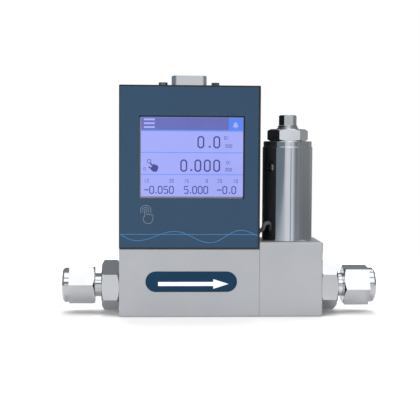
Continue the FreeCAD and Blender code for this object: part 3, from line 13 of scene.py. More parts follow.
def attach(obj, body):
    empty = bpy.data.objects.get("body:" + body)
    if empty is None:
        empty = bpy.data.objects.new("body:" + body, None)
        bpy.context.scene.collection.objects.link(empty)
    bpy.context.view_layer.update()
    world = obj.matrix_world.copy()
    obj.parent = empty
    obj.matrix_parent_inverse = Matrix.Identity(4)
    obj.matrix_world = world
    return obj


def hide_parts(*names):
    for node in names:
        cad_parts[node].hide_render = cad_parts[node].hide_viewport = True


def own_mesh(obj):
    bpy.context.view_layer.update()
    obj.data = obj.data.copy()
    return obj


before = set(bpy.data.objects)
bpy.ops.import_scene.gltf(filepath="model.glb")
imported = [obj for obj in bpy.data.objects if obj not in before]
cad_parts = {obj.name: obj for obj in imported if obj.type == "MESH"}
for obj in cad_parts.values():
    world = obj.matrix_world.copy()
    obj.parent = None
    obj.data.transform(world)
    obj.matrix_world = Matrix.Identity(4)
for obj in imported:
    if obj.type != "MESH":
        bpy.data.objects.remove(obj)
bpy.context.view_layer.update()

MM = 0.001
INK_HEIGHT = 0.04
BODY = "meter"
LOG = logging.getLogger("flow_meter")

Number = "float | Socket"


def linear(red: int, green: int, blue: int) -> tuple[float, float, float, float]:
    """Turns a colour written in screen values into the linear one that shaders use.

    Args:
        red: Red from 0 to 255.
        green: Green from 0 to 255.
        blue: Blue from 0 to 255.

    Returns:
        Linear red, green, blue and an alpha of one.
    """
    steps = [value / 255 for value in (red, green, blue)]
    light = [step / 12.92 if step <= 0.04045 else ((step + 0.055) / 1.055) ** 2.4 for step in steps]
    return (light[0], light[1], light[2], 1.0)


class Socket:
    """A value in a shader, on which sums, products and quotients add Math nodes."""

    def __init__(self, nodes: "Nodes", source: bpy.types.NodeSocket) -> None:
        """Keeps the node tree and the output that gives the value."""
        self.nodes = nodes
        self.source = source

    def maths(self, operation: str, first: Number, second: Number = 0.0) -> "Socket":
        """Adds one Math node.

        Args:
            operation: The node's operation.
            first: First value.
            second: Second value.

        Returns:
            The node's result.
        """
        return self.nodes.output("ShaderNodeMath", 0, {"operation": operation}, {0: first, 1: second})

    def __add__(self, other: Number) -> "Socket":
        """Sum."""
        return self.maths("ADD", self, other)

    def __radd__(self, other: Number) -> "Socket":
        """Sum with a number on the left."""
        return self.maths("ADD", other, self)

    def __sub__(self, other: Number) -> "Socket":
        """Difference."""
        return self.maths("SUBTRACT", self, other)

    def __rsub__(self, other: Number) -> "Socket":
        """Difference from a number on the left."""
        return self.maths("SUBTRACT", other, self)

    def __mul__(self, other: Number) -> "Socket":
        """Product."""
        return self.maths("MULTIPLY", self, other)

    def __rmul__(self, other: Number) -> "Socket":
        """Product with a number on the left."""
        return self.maths("MULTIPLY", other, self)

    def __truediv__(self, other: Number) -> "Socket":
        """Quotient."""
        return self.maths("DIVIDE", self, other)

    def __rtruediv__(self, other: Number) -> "Socket":
        """Quotient of a number on the left."""
        return self.maths("DIVIDE", other, self)

    def smooth(self, low: Number, high: Number) -> "Socket":
        """Rises smoothly from 0 at low to 1 at high.

        Args:
            low: Value at which the step starts.
            high: Value at which the step ends.

        Returns:
            The smooth step.
        """
        settings = {"interpolation_type": "SMOOTHSTEP"}
        inputs = {"Value": self, "From Min": low, "From Max": high}
        return self.nodes.output("ShaderNodeMapRange", "Result", settings, inputs)


class Nodes:
    """A node tree with one method that makes every node."""

    def __init__(self, tree: bpy.types.NodeTree) -> None:
        """Clears the tree and keeps it."""
        self.tree = tree
        tree.nodes.clear()

    def node(self, kind: str, settings: dict | None = None, inputs: dict | None = None) -> bpy.types.Node:
        """Makes a node, sets it up and connects it.

        Args:
            kind: Type of the node.
            settings: Its properties. The key stops fills a colour ramp.
            inputs: Values or links of its sockets, by name or number.

        Returns:
            The node.
        """
        made = self.tree.nodes.new(kind)
        for name, value in (settings or {}).items():
            if name == "stops":
                self.fill_ramp(made, value)
            else:
                setattr(made, name, value)
        for key, value in (inputs or {}).items():
            if isinstance(value, Socket):
                self.tree.links.new(value.source, made.inputs[key])
            else:
                made.inputs[key].default_value = value
        return made

    def fill_ramp(self, node: bpy.types.Node, stops: list[tuple[float, tuple]]) -> None:
        """Gives a colour ramp its stops.

        Args:
            node: The Color Ramp node.
            stops: Place and colour of each stop, in order.
        """
        elements = node.color_ramp.elements
        while len(elements) < len(stops):
            elements.new(0.5)
        for element, (place, colour) in zip(elements, stops):
            element.position = place
            element.color = colour

    def output(self, kind: str, name: str | int = 0, settings: dict | None = None,
               inputs: dict | None = None) -> Socket:
        """Makes a node and returns one of its outputs.

        Args:
            kind: Type of the node.
            name: Name or number of the output.
            settings: Its properties.
            inputs: Values or links of its sockets.

        Returns:
            The output.
        """
        return Socket(self, self.node(kind, settings, inputs).outputs[name])

    def mix(self, share: Number, low: tuple | Socket, high: tuple | Socket) -> Socket:
        """Mixes two colours.

        Args:
            share: Share of the second colour.
            low: First colour.
            high: Second colour.

        Returns:
            The mixed colour.
        """
        return self.output("ShaderNodeMix", 2, {"data_type": "RGBA"}, {0: share, 6: low, 7: high})

    def scaled(self, colour: tuple | Socket, share: Number) -> Socket:
        """Scales a colour.

        Args:
            colour: The colour.
            share: What it is multiplied by.

        Returns:
            The scaled colour.
        """
        return self.output("ShaderNodeVectorMath", 0, {"operation": "SCALE"}, {0: colour, "Scale": share})

    def noise(self, where: Socket, scale: float, detail: float = 2.0) -> Socket:
        """Adds a noise texture.

        Args:
            where: Coordinates it reads.
            scale: Waves per metre.
            detail: Octaves.

        Returns:
            A value near one half.
        """
        return self.output("ShaderNodeTexNoise", 0, None, {"Vector": where, "Scale": scale, "Detail": detail})


class Shader(Nodes):
    """The node tree of one material around one Principled shader."""

    def __init__(self, name: str) -> None:
        """Makes the material, its shader and its output.

        Args:
            name: Name of the material.
        """
        self.material = bpy.data.materials.new(name)
        self.material.use_nodes = True
        super().__init__(self.material.node_tree)
        self.surface = self.node("ShaderNodeBsdfPrincipled")
        shader = Socket(self, self.surface.outputs[0])
        self.node("ShaderNodeOutputMaterial", None, {"Surface": shader})
        self.place = self.output("ShaderNodeTexCoord", "Object")

    def feed(self, name: str, value: float | tuple | Socket) -> None:
        """Sets or links one socket of the shader.

        Args:
            name: Name of the socket.
            value: Number, colour or link.
        """
        if isinstance(value, Socket):
            self.tree.links.new(value.source, self.surface.inputs[name])
        else:
            self.surface.inputs[name].default_value = value


class Tooling(Enum):
    """Direction in which a tool left its fine lines, as scales of the pattern on each axis."""

    NONE = (1.0, 1.0, 1.0)
    RINGS_X = (1.0, 0.02, 0.02)
    RINGS_Z = (0.02, 0.02, 1.0)
    ALONG_X = (0.02, 1.0, 1.0)


@dataclass(frozen=True)
class Finish:
    """A procedural surface: colour, sheen, grain, tool lines and worn edges that also paint an edge
    highlight.
    """

    name: str
    colour: tuple[int, int, int]
    metallic: float = 0.0
    roughness: float = 0.4
    mottle: float = 0.04
    mottle_scale: float = 60.0
    grain_scale: float = 2500.0
    grain_depth: float = 0.01
    tooling: Tooling = Tooling.NONE
    line_scale: float = 4000.0
    line_depth: float = 0.0
    edge: float = 0.1
    wear_and_highlight: float = 0.0
    coat: float = 0.0
    specular: float = 0.5

    def material(self) -> bpy.types.Material:
        """Builds the material once and gives it back afterwards.

        Returns:
            The material.
        """
        known = bpy.data.materials.get(self.name)
        if known is not None:
            return known
        shader = Shader(self.name)
        shader.feed("Metallic", self.metallic)
        shader.feed("Specular IOR Level", self.specular)
        self.paint(shader)
        self.relief(shader)
        if self.coat:
            shader.feed("Coat Weight", self.coat)
            shader.surface.inputs["Coat Roughness"].default_value = 0.08
        return shader.material

    def paint(self, shader: Shader) -> None:
        """Varies the colour and the roughness over the surface, and brightens worn edges, which is wear on
        black oxide and a painted edge highlight as well as wear on the blasted blocks.

        Args:
            shader: The material's shader.
        """
        base = linear(*self.colour)
        dark = tuple(value * (1 - self.mottle) for value in base[:3]) + (1.0,)
        light = tuple(min(1.0, value * (1 + self.mottle)) for value in base[:3]) + (1.0,)
        cloud = shader.noise(shader.place, self.mottle_scale, 4.0)
        colour = shader.mix(cloud.smooth(0.3, 0.7), dark, light)
        speck = shader.noise(shader.place, self.grain_scale * 0.4, 3.0)
        rough = self.roughness * (0.86 + speck * 0.28)
        if self.wear_and_highlight:
            worn_and_lit = self.worn_and_highlit_edges(shader) * self.wear_and_highlight
            # Worn edges get a lighter colour: wear on black oxide, and a painted edge highlight as well as
            # wear on the blasted blocks.
            bright = tuple(min(1.0, value * 1.6 + 0.04) for value in base[:3]) + (1.0,)
            colour = shader.mix(worn_and_lit, colour, bright)
            rough = rough * (1 - worn_and_lit * 0.3)
        shader.feed("Base Color", colour)
        shader.feed("Roughness", rough)

    def worn_and_highlit_edges(self, shader: Shader) -> Socket:
        """Finds the worn edges, which get wear and a painted edge highlight.

        Args:
            shader: The material's shader.

        Returns:
            1 where a wide rounding turns away from the face, else 0.
        """
        round_normal = shader.output("ShaderNodeBevel", 0, {"samples": 6}, {"Radius": self.edge * 3 * MM})
        flat_normal = shader.output("ShaderNodeNewGeometry", "Normal")
        same = shader.output("ShaderNodeVectorMath", "Value", {"operation": "DOT_PRODUCT"},
                             {0: round_normal, 1: flat_normal})
        ragged = shader.noise(shader.place, 900.0, 3.0)
        return (1 - same).smooth(0.02, 0.2) * ragged.smooth(0.3, 0.6)

    def relief(self, shader: Shader) -> None:
        """Rounds the edges and adds the grain and the tool lines.

        Args:
            shader: The material's shader.
        """
        normal = shader.output("ShaderNodeBevel", 0, {"samples": 6}, {"Radius": self.edge * MM})
        height = shader.noise(shader.place, self.grain_scale, 2.0) * self.grain_depth
        if self.line_depth:
            stretch = shader.output("ShaderNodeMapping", 0, None,
                                    {"Vector": shader.place, "Scale": self.tooling.value})
            height = height + shader.noise(stretch, self.line_scale, 2.0) * self.line_depth
        bump = shader.output("ShaderNodeBump", 0, None,
                             {"Strength": 1.0, "Distance": MM, "Height": height, "Normal": normal})
        shader.feed("Normal", bump)


@dataclass(frozen=True)
class LitFinish:
    """A lit part of the display: its own light with a faint cloud, and a glossy cover."""

    name: str
    colour: tuple[int, int, int]
    level: float = 0.93
    cloud: float = 0.03

    def material(self) -> bpy.types.Material:
        """Builds the material once and gives it back afterwards.

        Returns:
            The material.
        """
        known = bpy.data.materials.get(self.name)
        if known is not None:
            return known
        shader = Shader(self.name)
        base = linear(*self.colour)
        shader.feed("Base Color", (0.01, 0.01, 0.012, 1.0))
        shader.feed("Roughness", 0.25)
        shader.surface.inputs["Specular IOR Level"].default_value = 0.4
        dim = tuple(value * (1 - self.cloud) for value in base[:3]) + (1.0,)
        full = tuple(min(1.0, value * (1 + self.cloud)) for value in base[:3]) + (1.0,)
        glow = shader.noise(shader.place, 45.0, 2.0).smooth(0.35, 0.65)
        shader.feed("Emission Color", shader.mix(glow, dim, full))
        shader.feed("Emission Strength", self.level)
        return shader.material


# Its lighter worn edges are a painted highlight along the chamfers, as well as bright-cut wear.
BLASTED = Finish("blasted_aluminium", (182, 184, 188), 0.45, 0.46, 0.02, 45.0, 3200.0, 0.012,
                 edge=0.07, wear_and_highlight=0.4)
STAINLESS = Finish("turned_stainless", (206, 208, 211), 1.0, 0.12, 0.03, 120.0, 1500.0, 0.001,
                   Tooling.RINGS_X, 5200.0, 0.0012, edge=0.06)
MILLED = Finish("milled_stainless", (206, 208, 211), 1.0, 0.13, 0.03, 140.0, 1500.0, 0.001,
                Tooling.ALONG_X, 3800.0, 0.001, edge=0.05)
SCREW_STEEL = Finish("screw_stainless", (188, 190, 194), 1.0, 0.24, 0.05, 200.0, 2400.0, 0.002, edge=0.08)
BLACK_OXIDE = Finish("black_oxide", (34, 34, 36), 0.9, 0.38, 0.1, 300.0, 2600.0, 0.004, edge=0.08, wear_and_highlight=0.3)
PLATED = Finish("bright_plated_steel", (216, 219, 224), 1.0, 0.085, 0.02, 90.0, 1200.0, 0.0006,
                Tooling.RINGS_Z, 5200.0, 0.0008, edge=0.03)
PLATED_NUT = Finish("bright_plated_nut", (232, 235, 239), 1.0, 0.1, 0.02, 90.0, 1200.0, 0.0006, edge=0.06)
PLATED_SCREW = Finish("plated_adjusting_screw", (196, 199, 202), 1.0, 0.12, 0.02, 90.0, 1200.0, 0.0006,
                      edge=0.05)
CORE_STEEL = Finish("magnetic_stainless", (186, 186, 188), 1.0, 0.22, 0.04, 120.0, 1500.0, 0.001,
                    Tooling.RINGS_Z, 5200.0, 0.002, edge=0.08)
SPRING_WIRE = Finish("spring_wire", (150, 150, 154), 1.0, 0.25, 0.06, 400.0, 3000.0, 0.002, edge=0.02)
SENSOR_STEEL = Finish("fine_stainless", (196, 196, 196), 1.0, 0.3, 0.04, 90.0, 2200.0, 0.004, edge=0.1)
SINTERED = Finish("sintered_mesh", (150, 148, 144), 0.9, 0.55, 0.2, 1800.0, 3500.0, 0.05, edge=0.05)
ELASTOMER = Finish("black_elastomer", (26, 26, 27), 0.0, 0.62, 0.1, 300.0, 2600.0, 0.01, edge=0.05)
COPPER = Finish("enamelled_copper", (186, 96, 52), 0.9, 0.32, 0.1, 500.0, 1500.0, 0.002,
                Tooling.RINGS_Z, 2600.0, 0.06, edge=0.05)
NYLON = Finish("black_nylon", (34, 34, 36), 0.0, 0.5, 0.08, 200.0, 2600.0, 0.006, edge=0.1)
HOUSING_BLACK = Finish("housing_powder_coat", (42, 42, 44), 0.0, 0.5, 0.08, 90.0, 1600.0, 0.02,
                       edge=0.05, specular=0.25)
PANEL_BLUE = Finish("panel_overlay", (46, 71, 96), 0.0, 0.42, 0.015, 40.0, 2600.0, 0.003,
                    edge=0.08, specular=0.3)
PLATE_BLUE = Finish("direction_plate_print", (14, 52, 80), 0.0, 0.4, 0.03, 60.0, 2600.0, 0.003,
                    edge=0.08, specular=0.2)
PLATE_WHITE = Finish("white_print", (254, 254, 254), 0.0, 0.4, 0.01, 90.0, 2600.0, 0.002, edge=0.03)
LINE_BLUE = Finish("pale_blue_print", (66, 128, 184), 0.0, 0.42, 0.03, 90.0, 2600.0, 0.002, edge=0.03)
ICON_GREY = Finish("grey_print", (140, 148, 154), 0.0, 0.45, 0.04, 200.0, 2600.0, 0.002, edge=0.03)
FRAME_GREY = Finish("display_frame_metal", (138, 136, 136), 0.6, 0.32, 0.05, 120.0, 2600.0, 0.003, edge=0.08)
CASE_BLACK = Finish("display_case_black", (30, 30, 32), 0.0, 0.45, 0.06, 120.0, 2600.0, 0.006, edge=0.1)
MASK_GREEN = Finish("solder_mask", (24, 84, 50), 0.0, 0.3, 0.12, 700.0, 1800.0, 0.006, edge=0.05, coat=0.3)
CHIP_BLACK = Finish("chip_case", (32, 32, 34), 0.0, 0.55, 0.08, 400.0, 3200.0, 0.006, edge=0.06)
CAN_METAL = Finish("capacitor_can", (190, 190, 192), 1.0, 0.28, 0.04, 200.0, 2400.0, 0.002, edge=0.1)
SPACER_BRASS = Finish("turned_brass", (201, 160, 88), 1.0, 0.24, 0.06, 200.0, 2400.0, 0.002, edge=0.08)
NATURAL_NYLON = Finish("natural_nylon", (222, 216, 200), 0.0, 0.5, 0.04, 200.0, 2600.0, 0.006, edge=0.08)
NICKEL_SHELL = Finish("nickel_plated_shell", (214, 217, 221), 1.0, 0.16, 0.012, 60.0, 900.0, 0.0004,
                      edge=0.03)
DARK_NICKEL = Finish("dark_nickel_posts", (122, 128, 132), 1.0, 0.28, 0.06, 240.0, 2400.0, 0.002, edge=0.08)
INSERT_BLACK = Finish("insert_black", (28, 28, 30), 0.0, 0.5, 0.06, 240.0, 2600.0, 0.006, edge=0.06)
CONTACT_GOLD = Finish("gold_contacts", (214, 170, 84), 1.0, 0.2, 0.05, 300.0, 2400.0, 0.002, edge=0.03)
LEAD_SLEEVE = Finish("lead_sleeve", (88, 87, 90), 0.0, 0.36, 0.1, 500.0, 2200.0, 0.012, edge=0.02, coat=0.15)

SCREEN_BACK = LitFinish("screen_lavender", (165, 173, 255))
SCREEN_TITLE = LitFinish("screen_title_bar", (98, 106, 186), 0.93, 0.04)
SCREEN_CELL = LitFinish("screen_alarm_cell", (86, 135, 249))
SCREEN_RULE = LitFinish("screen_rule", (90, 146, 252))
SCREEN_INK = LitFinish("screen_ink", (62, 66, 144), 0.9, 0.05)
SCREEN_PALE = LitFinish("screen_pale", (172, 178, 250))


def finished(name: str, mesh: bpy.types.Mesh, finish: Finish | LitFinish) -> bpy.types.Object:
    """Puts a mesh in the scene as a piece of the meter.

    Args:
        name: Name of the piece.
        mesh: Its mesh, already in place.
        finish: Its finish.

    Returns:
        The piece.
    """
    piece = bpy.data.objects.new(name, mesh)
    bpy.context.scene.collection.objects.link(piece)
    mesh.materials.clear()
    mesh.materials.append(finish.material())
    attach(piece, BODY)
    LOG.info("%s: %d faces", name, len(mesh.polygons))
    return piece


def mesh_of(name: str, shape: bmesh.types.BMesh) -> bpy.types.Mesh:
    """Turns a finished bmesh into a mesh, with its faces pointing outwards.

    Args:
        name: Name of the mesh.
        shape: The bmesh, which is freed.

    Returns:
        The mesh.
    """
    bmesh.ops.recalc_face_normals(shape, faces=shape.faces[:])
    mesh = bpy.data.meshes.new(name)
    shape.to_mesh(mesh)
    shape.free()
    return mesh


def dress(finish: Finish, *names: str) -> None:
    """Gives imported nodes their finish.

    Args:
        finish: The finish.
        names: The nodes.
    """
    for name in names:
        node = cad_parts[name]
        for slot in node.material_slots:
            slot.material = finish.material()
        LOG.info("%s: %s", name, finish.name)


def ink_line(points: list[tuple[float, float]], width: float, depth: float,
             closed: bool = False) -> bmesh.types.BMesh:
    """Makes a flat line of ink on a front face.

    Args:
        points: Places across and up, in millimetres.
        width: Width of the line in millimetres.
        depth: Place of the front face from back to front, in millimetres.
        closed: Whether the line joins its own start.

    Returns:
        The line, as high as INK_HEIGHT.
    """
    curve = bpy.data.curves.new("ink", "CURVE")
    curve.dimensions = "3D"
    curve.bevel_depth = width / 2 * MM
    curve.bevel_resolution = 1
    curve.use_fill_caps = True
    spline = curve.splines.new("POLY")
    spline.points.add(len(points) - 1)
    for spot, (across, up) in zip(spline.points, points):
        spot.co = (across * MM, 0.0, up * MM, 1.0)
    spline.use_cyclic_u = closed
    holder = bpy.data.objects.new("ink", curve)
    line = bmesh.new()
    line.from_mesh(bpy.data.meshes.new_from_object(holder))
    bpy.data.objects.remove(holder)
    bmesh.ops.scale(line, vec=(1.0, INK_HEIGHT / width, 1.0), verts=line.verts[:])
    bmesh.ops.translate(line, vec=(0.0, depth * MM, 0.0), verts=line.verts[:])
    return line


def plate(corners: list[tuple[float, float]], depth: float, thick: float) -> bmesh.types.BMesh:
    """Makes a flat plate with the given outline, standing out towards the front.

    Args:
        corners: Outline across and up, in millimetres.
        depth: Place of its back, in millimetres.
        thick: Thickness in millimetres.

    Returns:
        The plate.
    """
    shape = bmesh.new()
    outline = [shape.verts.new((across * MM, depth * MM, up * MM)) for across, up in corners]
    face = shape.faces.new(outline)
    grown = bmesh.ops.extrude_face_region(shape, geom=[face])
    moved = [item for item in grown["geom"] if isinstance(item, bmesh.types.BMVert)]
    bmesh.ops.translate(shape, vec=(0.0, -thick * MM, 0.0), verts=moved)
    return shape


def rectangle(left: float, low: float, right: float, high: float) -> list[tuple[float, float]]:
    """Gives the corners of an upright rectangle."""
    return [(left, low), (right, low), (right, high), (left, high)]


def arc(centre: tuple[float, float], radius: float, start: float, end: float,
        steps: int) -> list[tuple[float, float]]:
    """Gives points on an arc.

    Args:
        centre: Centre across and up.
        radius: Radius.
        start: First angle in degrees, from the right, anticlockwise.
        end: Last angle in degrees.
        steps: Number of steps between them.

    Returns:
        The points, one more than the steps.
    """
    turns = [math.radians(start + (end - start) * i / steps) for i in range(steps + 1)]
    return [(centre[0] + radius * math.cos(turn), centre[1] + radius * math.sin(turn)) for turn in turns]


def joined(shapes: list[bmesh.types.BMesh]) -> bmesh.types.BMesh:
    """Puts several shapes in one.

    Args:
        shapes: The shapes, which are freed.

    Returns:
        The whole.
    """
    whole = bmesh.new()
    for shape in shapes:
        mesh = bpy.data.meshes.new("part")
        shape.to_mesh(mesh)
        shape.free()
        whole.from_mesh(mesh)
        bpy.data.meshes.remove(mesh)
    return whole


@dataclass
class Digits:
    """Plain figures drawn with single strokes, each in a box of its own."""

    depth: float

    STROKES = {
        "0": ([[(0.3, 0), (0.7, 0), (1, 0.14), (1, 0.86), (0.7, 1), (0.3, 1), (0, 0.86), (0, 0.14)]], True),
        "1": ([[(0.2, 0.8), (0.55, 1), (0.55, 0)]], False),
        "2": ([[(0, 0.84), (0.3, 1), (0.7, 1), (1, 0.84), (1, 0.62), (0, 0), (1, 0)]], False),
        "5": ([[(1, 1), (0.08, 1), (0, 0.56), (0.7, 0.6), (1, 0.44), (1, 0.14), (0.7, 0), (0, 0.06)]], False),
        "-": ([[(0, 0.5), (1.2, 0.5)]], False),
    }

    def write(self, text: str, left: float, low: float, size: tuple[float, float], pitch: float,
              width: float) -> list[bmesh.types.BMesh]:
        """Draws a row of figures.

        Args:
            text: Figures, points, minus signs and spaces.
            left: Left edge in millimetres.
            low: Foot of the figures in millimetres.
            size: Width and height of one figure in millimetres.
            pitch: Step from one figure to the next in millimetres.
            width: Width of the stroke in millimetres.

        Returns:
            One shape for each stroke.
        """
        shapes = []
        across = left
        for sign in text:
            if sign == ".":
                dot = rectangle(across, low, across + width, low + width)
                shapes.append(plate(dot, self.depth, 0.02))
                across += pitch * 0.5
                continue
            if sign in self.STROKES:
                strokes, closed = self.STROKES[sign]
                for stroke in strokes:
                    line = [(across + x * size[0], low + y * size[1]) for x, y in stroke]
                    shapes.append(ink_line(line, width, self.depth, closed))
            across += pitch
        return shapes


@dataclass
class Blocks:
    """The two milled blocks with their screws and seals."""

    def make(self) -> None:
        """Dresses the nodes."""
        dress(BLASTED, "flow_block", "valve_block")
        dress(SCREW_STEEL, "block_screws")
        dress(ELASTOMER, "inlet_seal", "outlet_seal", "block_seal", "core_seal", "tap_seals")


@dataclass
class Fittings:
    """The compression fittings at both ends."""

    def make(self) -> None:
        """Dresses the nodes."""
        for end in ("inlet", "outlet"):
            dress(MILLED, f"{end}_fitting", f"{end}_nut")
            dress(STAINLESS, f"{end}_front_ferrule", f"{end}_back_ferrule")


@dataclass
class DirectionPlate:
    """The plate with round ends and its printed arrow."""

    face: float = -15.0
    tail: float = -29.7
    tip: float = 3.4
    neck: float = -3.8
    level: float = 15.6
    shaft: float = 0.96
    barb: float = 2.3

    def make(self) -> None:
        """Dresses the plate and prints the arrow."""
        dress(PLATE_BLUE, "direction_plate")
        level = self.level
        outline = [
            (self.tail, level - self.shaft),
            (self.neck, level - self.shaft),
            (self.neck, level - self.barb),
            (self.tip, level),
            (self.neck, level + self.barb),
            (self.neck, level + self.shaft),
            (self.tail, level + self.shaft),
        ]
        arrow = plate(outline, self.face + 0.005, 0.025)
        finished("direction_arrow", mesh_of("direction_arrow", arrow), PLATE_WHITE)


@dataclass
class Housing:
    """The case of the electronics with its printed front panel."""

    face: float = -15.0
    left: float = -47.5
    right: float = 16.95
    line_level: float = 38.95
    line_width: float = 0.32
    wave_steps: int = 16
    sign_width: float = 0.22
    sign_tip: tuple[float, float] = (-35.53, 50.07)

    def make(self) -> None:
        """Dresses the nodes and prints the lines and the touch sign."""
        dress(HOUSING_BLACK, "housing", "rear_cover")
        dress(BLACK_OXIDE, "cover_screws")
        dress(PANEL_BLUE, "front_panel")
        lines = [self.straight_line(), self.wave()]
        finished("panel_lines", mesh_of("panel_lines", joined(lines)), LINE_BLUE)
        finished("touch_sign", mesh_of("touch_sign", joined(self.touch_sign())), ICON_GREY)

    def straight_line(self) -> bmesh.types.BMesh:
        """Prints the level line across the panel."""
        ends = [(self.left + 0.2, self.line_level), (self.right - 0.2, self.line_level)]
        return ink_line(ends, self.line_width, self.face)

    def wave(self) -> bmesh.types.BMesh:
        """Prints the slow wave that swings about the level line, a quarter swing at each end.

        Returns:
            The line of ink.
        """
        turns = [(-47.2, 38.8), (-39.56, 35.97), (-21.85, 40.35), (-5.45, 35.02), (9.06, 40.92), (16.9, 38.3)]
        last = len(turns) - 2
        points = []
        for i, (start, end) in enumerate(zip(turns, turns[1:])):
            for step in range(self.wave_steps):
                share = step / self.wave_steps
                if i == 0:
                    rest = 1 - math.sin(math.radians(90 * share))
                elif i == last:
                    rest = math.cos(math.radians(90 * share))
                else:
                    rest = (1 + math.cos(math.radians(180 * share))) / 2
                points.append((start[0] + (end[0] - start[0]) * share, end[1] + (start[1] - end[1]) * rest))
        points.append(turns[-1])
        return ink_line(points, self.line_width, self.face - 0.005)

    def touch_sign(self) -> list[bmesh.types.BMesh]:
        """Prints a finger that touches the middle of two arcs.

        Returns:
            One shape for each stroke.
        """
        strokes = [arc(self.sign_tip, 1.5, -35, 215, 18), arc(self.sign_tip, 2.45, -30, 210, 24)]
        finger = [(-36.04, 46.95), (-36.04, 50.3)] + arc((-35.53, 50.3), 0.51, 180, 0, 8) + [(-35.02, 48.05)]
        knuckles = arc((-34.45, 47.95), 0.5, 170, 20, 5) + arc((-33.4, 47.9), 0.45, 160, 20, 5)
        knuckles += arc((-32.55, 47.75), 0.4, 150, 0, 5)
        palm = [(-32.15, 45.95), (-32.6, 44.95), (-33.4, 44.05), (-35.3, 44.05), (-36.45, 45.1),
                (-36.85, 46.5), (-36.5, 47.2), (-36.04, 46.95)]
        strokes.append(finger + knuckles + palm)
        return [ink_line(stroke, self.sign_width, self.face) for stroke in strokes]


